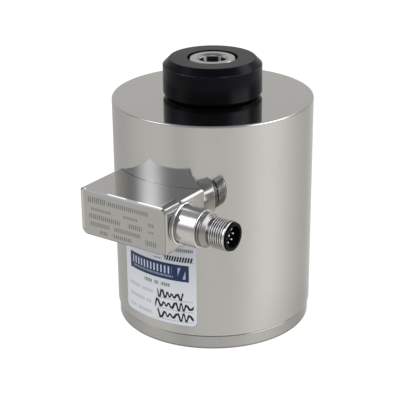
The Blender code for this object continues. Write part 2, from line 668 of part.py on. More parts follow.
def load_stem():
    """Stem between the hub and the cap, with a blind thread for the cap screw."""
    foot = HUB_TOP + FIT
    head_foot = BODY_TOP - STEM_HEAD_HEIGHT
    stem = turned("load_stem", [
        (0.0, CAP_SCREW_TIP - STEM_BORE_RUN_OUT),
        (SHANK_HOLE_RADIUS, CAP_SCREW_TIP - STEM_BORE_RUN_OUT),
        (SHANK_HOLE_RADIUS, BODY_TOP),
        (STEM_HEAD_RADIUS, BODY_TOP),
        (STEM_HEAD_RADIUS, head_foot),
        (STEM_RADIUS, head_foot - (STEM_HEAD_RADIUS - STEM_RADIUS)),
        (STEM_RADIUS, foot),
        (STEM_PILOT_RADIUS, foot),
        (STEM_PILOT_RADIUS, HUB_BOTTOM + STEM_PILOT_SETBACK),
        (0.0, HUB_BOTTOM + STEM_PILOT_SETBACK),
    ], MEDIUM_SIDES, "machined_steel", False)
    smooth(stem)


def spacer_tube():
    tube = turned("spacer_tube", [
        (SPACER_INNER, SPACER_TOP), (RIM_OUTER, SPACER_TOP),
        (RIM_OUTER, SPACER_BOTTOM), (SPACER_INNER, SPACER_BOTTOM),
    ], ROUND_SIDES, "machined_steel")
    combine(tube, rod("spacer_port", PORT_RADIUS, SPACER_INNER / 2, SLEEVE_BORE,
                      SMALL_SIDES, "Y", (0.0, 0.0, CONNECTOR_HEIGHT)))
    smooth(tube)


def seal_diaphragm():
    """A thin corrugated ring from the sleeve to the stem, with a short neck."""
    inner = STEM_HEAD_RADIUS + FIT
    steps = 2 * DIAPHRAGM_WAVES
    wave = []
    start = inner + DIAPHRAGM_INNER_FLAT
    end = SPACER_INNER - DIAPHRAGM_OUTER_FLAT
    for i, radius in enumerate(spaced(start, end, steps + 1)):
        wave.append((radius, DIAPHRAGM_TOP - (DIAPHRAGM_WAVE if i % 2 else 0.0)))
    top = [(inner, DIAPHRAGM_TOP), *wave, (RIM_OUTER, DIAPHRAGM_TOP)]
    bottom = [(radius, height - DIAPHRAGM_THICKNESS) for radius, height in reversed(top[1:])]
    neck = inner + DIAPHRAGM_THICKNESS
    bottom += [(neck, DIAPHRAGM_TOP - DIAPHRAGM_THICKNESS),
               (neck, DIAPHRAGM_TOP - DIAPHRAGM_NECK), (inner, DIAPHRAGM_TOP - DIAPHRAGM_NECK)]
    smooth(turned("seal_diaphragm", top + bottom, MEDIUM_SIDES, "machined_steel"))


def terminal_board():
    board = turned("terminal_board", [
        (BOARD_INNER_RADIUS, BOARD_TOP), (BOARD_OUTER, BOARD_TOP),
        (BOARD_OUTER, BOARD_BOTTOM), (BOARD_INNER_RADIUS, BOARD_BOTTOM),
    ], MEDIUM_SIDES, "board_laminate")
    for number, angle in enumerate(ring_angles(POST_COUNT, POST_TURN), 1):
        at = on_circle(POST_CIRCLE, angle)
        combine(board, rod(f"board_hole_{number}", POST_NECK_RADIUS + FIT,
                           BOARD_BOTTOM - PAST, BOARD_TOP + PAST, HOLE_SIDES, "Z", at))
        post = turned(f"board_post_{number}", [
            (0.0, BOARD_TOP + FIT + POST_BARB_RADIUS),
            (POST_NECK_RADIUS, BOARD_TOP + FIT + POST_BARB_RADIUS),
            (POST_BARB_RADIUS, BOARD_TOP + FIT),
            (POST_NECK_RADIUS, BOARD_TOP + FIT),
            (POST_NECK_RADIUS, BOARD_BOTTOM - FIT),
            (POST_RADIUS, BOARD_BOTTOM - FIT),
            (POST_RADIUS, RIM_TOP + FIT),
            (POST_FOOT_RADIUS, RIM_TOP + FIT),
            (POST_FOOT_RADIUS, RIM_TOP - POST_FOOT_DEPTH),
            (0.0, RIM_TOP - POST_FOOT_DEPTH),
        ], HOLE_SIDES, "white_plastic", False, "Z", at)
        smooth(post)
    smooth(board)


# Load introduction

def load_cap():
    cap = turned("load_cap", [
        (CAP_SINK_RADIUS, CAP_TOP),
        (CAP_RADIUS - CAP_TOP_CHAMFER, CAP_TOP),
        (CAP_RADIUS, CAP_TOP - CAP_TOP_CHAMFER),
        (CAP_RADIUS, CAP_BOTTOM + CAP_FOOT_CHAMFER),
        (CAP_RADIUS - CAP_FOOT_CHAMFER, CAP_BOTTOM),
        (SHANK_HOLE_RADIUS, CAP_BOTTOM),
        (SHANK_HOLE_RADIUS, CAP_SINK_FLOOR),
        (CAP_SINK_RADIUS, CAP_SINK_FLOOR),
    ], CAP_SIDES, "black_cap")
    smooth(cap)


def cap_screw():
    top = CAP_SCREW_SEAT + CAP_SCREW_HEAD_HEIGHT
    screw = turned("cap_screw", [
        (0.0, top),
        (CAP_SCREW_HEAD_RADIUS - CAP_SCREW_RIM_CHAMFER, top),
        (CAP_SCREW_HEAD_RADIUS, top - CAP_SCREW_RIM_CHAMFER),
        (CAP_SCREW_HEAD_RADIUS, CAP_SCREW_SEAT),
        (CAP_SCREW_SHANK_RADIUS, CAP_SCREW_SEAT),
        (CAP_SCREW_SHANK_RADIUS, CAP_SCREW_TIP + CAP_SCREW_TIP_CHAMFER),
        (CAP_SCREW_SHANK_RADIUS - CAP_SCREW_TIP_CHAMFER, CAP_SCREW_TIP),
        (0.0, CAP_SCREW_TIP),
    ], ROUND_SIDES, "screw_steel", False)
    combine(screw, hexagon("cap_screw_key", CAP_SCREW_KEY, top - CAP_SCREW_KEY_DEPTH,
                           top + PAST, turn=CAP_SCREW_KEY_TURN))
    mouth = CAP_SCREW_KEY / sqrt(3) + CAP_SCREW_KEY_CHAMFER
    run_out = (mouth - CAP_SCREW_KEY / 2) / sqrt(3)
    combine(screw, turned("cap_screw_mouth", [
        (0.0, top + PAST), (mouth, top + PAST), (mouth, top),
        (CAP_SCREW_KEY / 2, top - run_out), (0.0, top - run_out),
    ], MEDIUM_SIDES, None, False))
    smooth(screw)


# Connector box

def box_rounds(top_right, bottom_right):
    return {(-1, 1): BOX_TOP_LEFT_ROUND, (-1, -1): BOX_BOTTOM_LEFT_ROUND,
            (1, 1): top_right, (1, -1): bottom_right}


def connector_box():
    """One block with a saddle back, a pocket for the leads and a bore for the boss."""
    step = -(BOX_REACH - BOX_FRONT_DEPTH)
    box = block("connector_box", (BOX_LEFT, -BOX_REACH, BOX_BOTTOM),
                (BOX_RIGHT, step + PAST, BOX_TOP), "polished_steel",
                box_rounds(BOX_TOP_RIGHT_ROUND, BOX_BOTTOM_RIGHT_ROUND), 4)
    round_front(box)
    combine(box, block("box_rear", (BOX_LEFT, step, BOX_BOTTOM),
                       (BOX_RIGHT, -BODY_RADIUS / 2, BOX_TOP), None,
                       box_rounds(BOX_REAR_RIGHT_BREAK, BOX_REAR_RIGHT_BREAK), 4), "UNION")
    combine(box, rod("saddle", SADDLE_RADIUS, BOX_BOTTOM - PAST, BOX_TOP + PAST, FINE_SIDES))
    combine(box, block("pocket", (POCKET_LEFT, -POCKET_FRONT, POCKET_BOTTOM),
                       (POCKET_RIGHT, -BODY_RADIUS / 2, POCKET_TOP), None,
                       all_round(POCKET_CORNER)))
    combine(box, rod("boss_bore", BOSS_TAIL_RADIUS + FIT, POCKET_RIGHT - PAST,
                     BOX_RIGHT + PAST, MEDIUM_SIDES, "X", connector_axis()))
    for number, (x, z, seat, outside) in enumerate(box_screw_places(), 1):
        combine(box, rod(f"box_tapping_{number}", BOX_SCREW_SHANK + FIT,
                         seat, outside + BOX_SCREW_ENGAGEMENT + FIT, HOLE_SIDES, "Y",
                         (x, 0.0, z)))
    recess = gasket_outline("gasket_recess", GASKET_RECESS)
    combine(recess, rod("recess_floor", SADDLE_RADIUS + GASKET_THICKNESS + FIT,
                        BOX_BOTTOM - PAST, BOX_TOP + PAST, FINE_SIDES), "INTERSECT")
    combine(box, recess)
    smooth(box)


def round_front(box):
    """Round the edge all around the front face."""
    shape = bmesh.new()
    shape.from_mesh(box.data)
    front = -BOX_REACH + NEAR
    rim = [e for e in shape.edges if all(v.co.y < front for v in e.verts)]
    bmesh.ops.bevel(shape, geom=rim, offset=BOX_FRONT_EDGE, segments=2, profile=0.5,
                    affect="EDGES")
    shape.to_mesh(box.data)
    shape.free()


def gasket_outline(name, reach, material=None):
    return block(name, (POCKET_LEFT - reach, -POCKET_FRONT, POCKET_BOTTOM - reach),
                 (POCKET_RIGHT + reach, -BODY_RADIUS / 2, POCKET_TOP + reach), material,
                 all_round(POCKET_CORNER))


def box_gasket():
    """A saddle-shaped seal around the pocket, let into the back of the box."""
    gasket = gasket_outline("box_gasket", GASKET_MARGIN + GASKET_WIDTH, "seal_rubber")
    low = BOX_BOTTOM - PAST
    high = BOX_TOP + PAST
    combine(gasket, turned("gasket_curve", [
        (SADDLE_RADIUS, high), (SADDLE_RADIUS + GASKET_THICKNESS, high),
        (SADDLE_RADIUS + GASKET_THICKNESS, low), (SADDLE_RADIUS, low),
    ], FINE_SIDES), "INTERSECT")
    combine(gasket, gasket_outline("gasket_opening", GASKET_MARGIN))
    smooth(gasket)


# Connector

def connector_axis():
    return (0.0, -CONNECTOR_REACH, CONNECTOR_HEIGHT)


def connector_boss():
    """Turned adapter; its tail fills the box bore and its front takes the shell."""
    socket = SHELL_TAIL_RADIUS + FIT
    floor = BOSS_END - BOSS_SOCKET_DEPTH
    seal_x = BOX_RIGHT - BOSS_SEAL_PLACE
    seal_middle = BOSS_TAIL_RADIUS + FIT - SEAL_PLAY - BOSS_SEAL_SECTION
    groove = seal_middle - BOSS_SEAL_SECTION - SEAL_PLAY
    half = BOSS_SEAL_SECTION + SEAL_PLAY
    boss = turned("connector_boss", [
        (socket, BOSS_END),
        (BOSS_RADIUS - BOSS_EDGE, BOSS_END),
        (BOSS_RADIUS, BOSS_END - BOSS_EDGE),
        (BOSS_RADIUS, BOSS_START + BOSS_FLANGE_LENGTH),
        (BOSS_FLANGE_RADIUS, BOSS_START + BOSS_FLANGE_LENGTH),
        (BOSS_FLANGE_RADIUS, BOSS_START),
        (BOSS_TAIL_RADIUS, BOSS_START),
        (BOSS_TAIL_RADIUS, seal_x + half),
        (groove, seal_x + half),
        (groove, seal_x - half),
        (BOSS_TAIL_RADIUS, seal_x - half),
        (BOSS_TAIL_RADIUS, BOSS_TAIL_START),
        (BOSS_BORE_RADIUS, BOSS_TAIL_START),
        (BOSS_BORE_RADIUS, floor),
        (socket, floor),
    ], MEDIUM_SIDES, "nickel", True, "X", connector_axis())
    smooth(boss)
    seal_ring("boss_seal", seal_middle, BOSS_SEAL_SECTION, seal_x, SMALL_SIDES, "X",
              connector_axis())


def thread_profile():
    """Crests and roots of the thread from its front end to its back end, as rings."""
    root = THREAD_RADIUS - THREAD_DEPTH
    points = [(root, THREAD_END)]
    for turn in range(THREAD_TURNS):
        front = THREAD_END - turn * THREAD_PITCH
        points.append((THREAD_RADIUS, front - THREAD_PITCH / 2))
        points.append((root, front - THREAD_PITCH))
    return points


def connector_shell():
    """M12 shell: collar, undercut, thread and a plain lead-in."""
    collar_end = SHELL_START + SHELL_COLLAR_LENGTH
    taper_end = collar_end + SHELL_TAPER_LENGTH
    tail_end = SHELL_START - SHELL_TAIL_LENGTH
    step = tail_end + SHELL_BORE_STEP
    shell = turned("connector_shell", [
        (SHELL_BORE_RADIUS, SHELL_END),
        (THREAD_RADIUS - SHELL_LEAD_IN_DROP, SHELL_END),
        (THREAD_RADIUS, SHELL_END - SHELL_LEAD_IN_DROP),
        *thread_profile(),
        (SHELL_NECK_RADIUS, THREAD_START - FIT),
        (SHELL_NECK_RADIUS, taper_end),
        (SHELL_COLLAR_RADIUS, collar_end),
        (SHELL_COLLAR_RADIUS, SHELL_START),
        (SHELL_TAIL_RADIUS, SHELL_START),
        (SHELL_TAIL_RADIUS, tail_end),
        (SHELL_REAR_BORE_RADIUS, tail_end),
        (SHELL_REAR_BORE_RADIUS, step),
        (SHELL_BORE_RADIUS, step),
    ], MEDIUM_SIDES, "nickel", True, "X", connector_axis())
    smooth(shell)


def pin_places():
    """Middle pin first, then the ring of pins, as offsets along +Y and +Z."""
    ring = [(PIN_CIRCLE * cos(a), PIN_CIRCLE * sin(a)) for a in ring_angles(PIN_RING_COUNT)]
    return [(0.0, 0.0), *ring]


def contact_insert():
    """Moulded cup with a lip over the shell's end, a coding key and eight pin holes."""
    lip_back = INSERT_END - INSERT_LIP_LENGTH
    insert = turned("contact_insert", [
        (0.0, INSERT_FLOOR),
        (INSERT_RECESS_RADIUS, INSERT_FLOOR),
        (INSERT_RECESS_RADIUS, INSERT_END),
        (INSERT_LIP_RADIUS, INSERT_END),
        (INSERT_LIP_RADIUS, lip_back),
        (INSERT_BODY_RADIUS, lip_back),
        (INSERT_BODY_RADIUS, INSERT_STEP),
        (INSERT_TAIL_RADIUS, INSERT_STEP),
        (INSERT_TAIL_RADIUS, INSERT_START),
        (0.0, INSERT_START),
    ], SMALL_SIDES, "black_plastic", False, "X", connector_axis())
    wall = -CONNECTOR_REACH - INSERT_RECESS_RADIUS
    combine(insert, block("coding_key", (INSERT_FLOOR - FIT, wall - FIT / 2,
                                         CONNECTOR_HEIGHT - INSERT_KEY_WIDTH / 2),
                          (INSERT_END - INSERT_KEY_SETBACK, wall + INSERT_KEY_HEIGHT,
                           CONNECTOR_HEIGHT + INSERT_KEY_WIDTH / 2)), "UNION")
    for number, (y, z) in enumerate(pin_places(), 1):
        at = (0.0, y - CONNECTOR_REACH, z + CONNECTOR_HEIGHT)
        combine(insert, rod(f"pin_hole_{number}", PIN_RADIUS + FIT, INSERT_START - PAST,
                            INSERT_FLOOR + FIT, PIN_SIDES, "X", at))
        pin = turned(f"contact_pin_{number}", [
            (0.0, PIN_TIP), (PIN_RADIUS - PIN_TIP_TAPER, PIN_TIP),
            (PIN_RADIUS, PIN_TIP - PIN_TIP_TAPER), (PIN_RADIUS, PIN_START), (0.0, PIN_START),
        ], PIN_SIDES, "gold_contact", False, "X", at)
        smooth(pin)
    smooth(insert)


# Leads and label

def curve_through(points, steps):
    """Points on a smooth curve through the given ones."""
    path = []
    ends = [2 * points[0] - points[1], *points, 2 * points[-1] - points[-2]]
    for a, b, c, d in zip(ends, ends[1:], ends[2:], ends[3:]):
        for i in range(steps):
            t = i / steps
            path.append(0.5 * (2 * b + (c - a) * t + (2 * a - 5 * b + 4 * c - d) * t ** 2
                               + (3 * b - a - 3 * c + d) * t ** 3))
    path.append(points[-1])
    return path


def signal_leads():
    """The leads from the terminal board through the port and the box to the pins."""
    axis_y = -CONNECTOR_REACH
    axis_z = CONNECTOR_HEIGHT
    turn = CONNECTOR_OFFSET
    route = [
        Vector((0.0, -BOARD_MIDDLE, BOARD_TOP + FIT)),
        Vector((0.0, -BOARD_MIDDLE, (BOARD_TOP + axis_z) / 2)),
        Vector((0.0, -BOARD_MIDDLE - turn / 3, axis_z - turn / 2)),
        Vector((0.0, -SPACER_INNER, axis_z - LEADS_DROP)),
        Vector((0.0, -BODY_RADIUS, axis_z)),
        Vector((turn / 3, axis_y + turn / 3, axis_z)),
        Vector((turn, axis_y, axis_z)),
        Vector((BOX_RIGHT, axis_y, axis_z)),
        Vector((PIN_START - FIT, axis_y, axis_z)),
    ]
    points = curve_through(route, 2)
    curve = bpy.data.curves.new("signal_leads", "CURVE")
    curve.dimensions = "3D"
    curve.bevel_depth = LEADS_RADIUS
    curve.bevel_resolution = 2
    curve.use_fill_caps = True
    spline = curve.splines.new("POLY")
    spline.points.add(len(points) - 1)
    for slot, point in zip(spline.points, points):
        slot.co = (*point, 1.0)
    place(bpy.data.objects.new("signal_leads", curve), "lead_sheath")


def sleeve_label():
    """A film label wrapped on the sleeve under the connector box, a little left of its middle."""
    radius = BODY_RADIUS + FIT
    left, right = [(radius + LABEL_THICKNESS) * sin((side * LABEL_WIDTH / 2 - LABEL_SHIFT) / BODY_RADIUS)
                   for side in (-1, 1)]
    top = BOX_BOTTOM - LABEL_GAP
    label = block("sleeve_label", (left, -(radius + LABEL_THICKNESS + PAST), LABEL_BOTTOM),
                  (right, -BODY_RADIUS / 2, top), "label_film", all_round(LABEL_CORNER))
    combine(label, turned("label_curve", [
        (radius, top + PAST), (radius + LABEL_THICKNESS, top + PAST),
        (radius + LABEL_THICKNESS, LABEL_BOTTOM - PAST), (radius, LABEL_BOTTOM - PAST),
    ], FINE_SIDES), "INTERSECT")
    smooth(label)


housing_sleeve()
base_plate()
sleeve_screws()
spring_element()
element_screws()
strain_gauges()
load_stem()
spacer_tube()
seal_diaphragm()
terminal_board()
load_cap()
cap_screw()
connector_box()
box_gasket()
box_screws()
connector_boss()
connector_shell()
contact_insert()
signal_leads()
sleeve_label()
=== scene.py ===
# Force transducer: finishes, fine meshes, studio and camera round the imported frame.
# Lengths in the dictionaries are millimetres, angles are degrees.
import bpy
import bmesh
import json
from math import acos, atan2, cos, degrees, pi, radians, sin, sqrt, tan
from types import SimpleNamespace
from mathutils import Matrix, Vector


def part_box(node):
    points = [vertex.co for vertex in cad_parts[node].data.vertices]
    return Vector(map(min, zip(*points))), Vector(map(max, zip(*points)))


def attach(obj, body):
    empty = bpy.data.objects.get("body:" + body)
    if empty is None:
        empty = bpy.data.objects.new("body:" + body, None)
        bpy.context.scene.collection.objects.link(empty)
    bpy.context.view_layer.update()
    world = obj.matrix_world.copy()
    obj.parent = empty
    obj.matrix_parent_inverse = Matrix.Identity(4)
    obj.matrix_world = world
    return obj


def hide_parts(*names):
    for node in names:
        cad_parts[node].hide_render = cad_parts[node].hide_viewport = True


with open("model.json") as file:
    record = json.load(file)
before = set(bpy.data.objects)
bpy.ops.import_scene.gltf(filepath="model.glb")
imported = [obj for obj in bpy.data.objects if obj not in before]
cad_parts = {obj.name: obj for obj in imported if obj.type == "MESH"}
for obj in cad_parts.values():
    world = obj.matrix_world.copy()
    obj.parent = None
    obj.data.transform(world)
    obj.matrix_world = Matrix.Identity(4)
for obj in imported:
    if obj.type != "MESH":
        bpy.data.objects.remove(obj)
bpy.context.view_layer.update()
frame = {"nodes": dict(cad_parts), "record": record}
mm = 0.001
slotOf = {row["node"]: row["material_slot"] for row in frame["record"]["subparts"]}
print("frame loaded:", len(frame["nodes"]), "nodes")


def metres(lengths):  # a piece's dictionary as names, in metres
    return SimpleNamespace(**{key: given * mm for key, given in lengths.items()})


def middleOf(node):
    low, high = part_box(node)
    return Vector([(low[k] + high[k]) / 2 for k in range(3)])


# Shader maths. A Value is one socket, so a pattern reads as a formula.

class Value:
    def __init__(self, owner, socket):
        self.owner = owner
        self.socket = socket

    def maths(self, operation, *others):
        sockets = dict(enumerate([self, *others]))
        return self.owner.node("ShaderNodeMath", {"operation": operation}, sockets)

    def __add__(self, other):
        return self.maths("ADD", other)

    def __mul__(self, other):
        return self.maths("MULTIPLY", other)

    def __sub__(self, other):
        return self.maths("SUBTRACT", other)

    def __rsub__(self, other):
        return self.owner.node("ShaderNodeMath", {"operation": "SUBTRACT"}, {0: other, 1: self})

    def __truediv__(self, other):
        return self.maths("DIVIDE", other)

    def __pow__(self, other):
        return self.maths("POWER", other)

    def __gt__(self, other):
        return self.maths("GREATER_THAN", other)

    def __lt__(self, other):
        return self.maths("LESS_THAN", other)

    def __abs__(self):
        return self.maths("ABSOLUTE")

    def most(self, other):
        return self.maths("MAXIMUM", other)

    def least(self, other):
        return self.maths("MINIMUM", other)

    def rise(self, start, end):  # 0 below start, 1 above end, smooth between them
        return self.owner.node("ShaderNodeMapRange", {"interpolation_type": "SMOOTHSTEP"},
                               {"Value": self, "From Min": start, "From Max": end})

    __radd__ = __add__
    __rmul__ = __mul__


class NodeSheet:
    def __init__(self, tree):
        self.tree = tree

    def node(self, kind, settings=None, sockets=None, output=0):
        made = self.tree.nodes.new(kind)
        for key, setting in (settings or {}).items():
            setattr(made, key, setting)
        for key, given in (sockets or {}).items():
            self.feed(made.inputs[key], given)
        return Value(self, made.outputs[output])

    def feed(self, socket, given):  # a colour is given as three levels
        if isinstance(given, Value):
            self.tree.links.new(given.socket, socket)
        elif socket.type == "RGBA":
            socket.default_value = (*given, 1.0)
        else:
            socket.default_value = given

    def dot(self, vector, direction):
        return self.node("ShaderNodeVectorMath", {"operation": "DOT_PRODUCT"},
                         {0: vector, 1: direction}, "Value")

    def scaled(self, vector, factors):
        return self.node("ShaderNodeVectorMath", {"operation": "MULTIPLY"},
                         {0: vector, 1: factors})

    def parts(self, vector):
        return [self.node("ShaderNodeSeparateXYZ", None, {0: vector}, axis) for axis in "XYZ"]

    def mix(self, mask, first, second):
        return self.node("ShaderNodeMix", {"data_type": "RGBA"}, {0: mask, 6: first, 7: second}, 2)

    def noise(self, vector, scale, detail=2.0, roughness=0.5):
        return self.node("ShaderNodeTexNoise", None, {"Vector": vector, "Scale": scale,
                                                      "Detail": detail, "Roughness": roughness})


class Finish(NodeSheet):  # a Principled material with its own coordinates in millimetres
    def __init__(self, name, colour, roughness, metallic, **fixed):
        self.material = bpy.data.materials.new(name)
        self.material.use_nodes = True
        super().__init__(self.material.node_tree)
        self.surface = self.tree.nodes["Principled BSDF"]
        self.set("Base Color", colour)
        self.set("Roughness", roughness)
        self.set("Metallic", metallic)
        for key, given in fixed.items():
            self.set(key.replace("_", " "), given)
        place = self.node("ShaderNodeTexCoord", None, None, "Object")
        self.place = self.scaled(place, (1000.0, 1000.0, 1000.0))

    def set(self, name, given):
        self.feed(self.surface.inputs[name], given)

    def bump(self, height, depth, strength=1.0):  # depth is the height of 1, in metres
        self.set("Normal", self.node("ShaderNodeBump", None, {
            "Height": height, "Distance": depth, "Strength": strength}))


# Mesh tools

def deselect():
    if bpy.context.object and bpy.context.object.mode != "OBJECT":
        bpy.ops.object.mode_set(mode="OBJECT")
    bpy.ops.object.select_all(action="DESELECT")


def activate(piece):
    deselect()
    piece.select_set(True)
    bpy.context.view_layer.objects.active = piece


def selectEdges(piece, wanted):
    shape = bmesh.from_edit_mesh(piece.data)
    for face in shape.faces:
        face.select_set(False)
    for edge in shape.edges:
        edge.select_set(wanted(*[corner.co for corner in edge.verts]))
    shape.select_flush_mode()
    bmesh.update_edit_mesh(piece.data)


def softened(points, closed, steps=5, support=0.25 * mm):
    # an outline of (radius, height, round), with each round as an arc between support points
    outline = []
    count = len(points)
    for i, (radius, height, size) in enumerate(points):
        corner = Vector((radius, height))
        if size == 0 or (not closed and i in (0, count - 1)):
            outline.append((radius, height))
            continue
        back = (Vector(points[i - 1][:2]) - corner).normalized()
        onward = (Vector(points[(i + 1) % count][:2]) - corner).normalized()
        half = acos(max(-1.0, min(1.0, back.dot(onward)))) / 2
        reach = size / tan(half)
        middle = corner + (back + onward).normalized() * (size / sin(half))
        start = corner + back * reach - middle
        sweep = (pi - 2 * half) * (1 if start.cross(onward) > 0 else -1)
        outline.append(tuple(corner + back * (reach + support)))
        for step in range(steps + 1):
            turned = Matrix.Rotation(sweep * step / steps, 2) @ start
            outline.append(tuple(middle + turned))
        outline.append(tuple(corner + onward * (reach + support)))
    if closed:
        outline.append(outline[0])
    return outline


def drawOutline(name, outline):  # a vertex extruded from point to point, left in edit mode
    deselect()
    bpy.ops.mesh.primitive_plane_add(size=mm, location=(0.0, 0.0, 0.0))
    piece = bpy.context.object
    piece.name = name
    bpy.ops.object.mode_set(mode="EDIT")
    bpy.ops.mesh.select_mode(type="VERT")
    bpy.ops.mesh.select_all(action="SELECT")
    bpy.ops.mesh.merge(type="CENTER")
    bpy.ops.transform.translate(value=(outline[0][0], 0.0, outline[0][1]))
    for (radius, height), (nextRadius, nextHeight) in zip(outline, outline[1:]):
        bpy.ops.mesh.extrude_region_move(TRANSFORM_OT_translate={
            "value": (nextRadius - radius, 0.0, nextHeight - height)})
    bpy.ops.mesh.select_all(action="SELECT")
    return piece


def spinOutline(name, outline, sides, axis="z", middle=(0.0, 0.0, 0.0)):
    piece = drawOutline(name, outline)
    bpy.ops.mesh.spin(steps=sides, angle=2 * pi, center=(0.0, 0.0, 0.0), axis=(0.0, 0.0, 1.0))
    bpy.ops.mesh.select_all(action="SELECT")
    bpy.ops.mesh.remove_doubles(threshold=0.002 * mm)
    bpy.ops.mesh.normals_make_consistent(inside=False)
    bpy.ops.object.mode_set(mode="OBJECT")
    if axis == "x":
        piece.rotation_euler = (0.0, pi / 2, 0.0)
    piece.location = middle
    bpy.ops.object.transform_apply()
    return piece


def addRod(radius, start, end, sides=32):
    deselect()
    start, end = Vector(start), Vector(end)
    bpy.ops.mesh.primitive_cylinder_add(vertices=sides, radius=radius, depth=(end - start).length,
                                        location=(start + end) / 2)
    rod = bpy.context.object
    rod.rotation_euler = (end - start).to_track_quat("Z", "Y").to_euler()
    bpy.ops.object.transform_apply()
    return rod


def addBlock(name, low, high):
    deselect()
    low, high = Vector(low), Vector(high)
    bpy.ops.mesh.primitive_cube_add(size=1.0, location=(low + high) / 2)
    piece = bpy.context.object
    piece.name = name
    piece.scale = high - low
    bpy.ops.object.transform_apply()
    return piece


def bevelEdges(piece, wanted, size, segments):
    activate(piece)
    bpy.ops.object.mode_set(mode="EDIT")
    bpy.ops.mesh.select_mode(type="EDGE")
    selectEdges(piece, wanted)
    bpy.ops.mesh.bevel(offset=size, segments=segments, profile=0.5)
    bpy.ops.object.mode_set(mode="OBJECT")


def combine(piece, others, operation="DIFFERENCE"):
    for other in others:
        activate(piece)
        boolean = piece.modifiers.new("combine", "BOOLEAN")
        boolean.operation = operation
        boolean.object = other
        bpy.ops.object.modifier_apply(modifier=boolean.name)
        bpy.data.objects.remove(other)


def shadeRound(piece, angle=32.0, weighted=False):
    activate(piece)
    bpy.ops.object.shade_smooth_by_angle(angle=radians(angle))
    if weighted:
        modifier = piece.modifiers.new("flat faces lead", "WEIGHTED_NORMAL")
        modifier.keep_sharp = True
        bpy.ops.object.modifier_apply(modifier=modifier.name)


def dress(piece, finish, slot, *nodes):
    piece.data.materials.clear()
    piece.data.materials.append(finish.material)
    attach(piece, "root")
    if nodes:
        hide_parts(*nodes)


# Finishes

# mark is the dark colour of the engraving and of painted shade
steelLook = {"colour": (0.53, 0.52, 0.495), "grimeAndShade": (0.49, 0.475, 0.44), "roughness": 0.055,
             "smudge": 0.05, "baseTone": 0.83, "frontTone": 0.84, "mark": (0.13, 0.125, 0.115),
             "film": 0.12, "waviness": 0.0022 * mm, "turning": 0.00006 * mm}


def makeSteel(name, turned, tone=1.0):
    bright = [tone * level for level in steelLook["colour"]]
    grimeAndShade = [tone * level for level in steelLook["grimeAndShade"]]
    steel = Finish(name, bright, steelLook["roughness"], 1.0,
                   Coat_Weight=steelLook["film"], Coat_Roughness=0.5)
    smudge = steel.noise(steel.place, 0.055, 4.0, 0.6).rise(0.46, 0.74)
    grime = steel.noise(steel.place, 0.35, 5.0, 0.65).rise(0.42, 0.8)
    steel.set("Roughness", steelLook["roughness"] + smudge * steelLook["smudge"] + grime * 0.02)
    steel.tint = steel.mix(smudge * 0.25 + grime * 0.2, bright, grimeAndShade)
    if turned:  # painted shade low on its right
        x, y, z = steel.parts(steel.place)
        # painted shade: low on the right side, darkened towards the mark colour
        shade = (y + 27.0).rise(0.0, 14.0) * (x > 0.0) * (1 - z.rise(2.0, 30.0)) * 0.17
        steel.tint = steel.mix(shade, steel.tint, steelLook["mark"])
    steel.set("Base Color", steel.tint)
    wave = steel.noise(steel.place, 0.05, 1.0)
    lines = steel.noise(steel.scaled(steel.place, (0.02, 0.02, 6.0) if turned else
                                     (0.03, 5.0, 5.0)), 1.0, 2.0)
    share = steelLook["turning"] / steelLook["waviness"]
    steel.bump(wave + lines * share, steelLook["waviness"])
    return steel


def makeBaseSteel():  # darker ring, with painted shade along its foot
    steel = makeSteel("baseSteel", True, steelLook["baseTone"])
    x, y, z = steel.parts(steel.place)
    # painted shade along the foot of the base
    footShade = 1 - z.rise(0.3, 1.1)
    steel.set("Base Color", steel.mix(footShade * 0.75, steel.tint, steelLook["mark"]))
    return steel


# plain hatched bars where the real box is engraved: left, right, low, high
boxMarks = [(-18.1, -9.0, 66.4, 68.9), (-8.4, 11.8, 66.6, 68.5), (-16.4, -6.3, 63.2, 64.4),
            (-0.4, 6.5, 63.2, 64.4), (-17.4, -2.1, 59.6, 61.6), (1.9, 8.8, 59.6, 61.6),
            (-17.4, -7.4, 56.5, 58.3), (-5.2, 8.1, 56.5, 58.3), (-12.4, -8.2, 53.6, 55.2),
            (-5.9, 3.5, 53.6, 55.2), (11.7, 14.6, 62.6, 64.1), (11.7, 14.6, 59.8, 60.7),
            (10.2, 15.5, 54.5, 56.6)]


# where the box's edges carry painted highlights and painted shade, along x
boxShading = {"brightFrom": -8.0, "brightTo": 1.0, "brightRight": 6.8, "brightCorner": -19.4,
           "seamLeft": -3.0, "seamRight": 11.0, "ridge": 16.6, "shadeStripFrom": 16.9,
           "shadeStripTo": 18.3, "step": 10.4, "chamfer": 0.8}


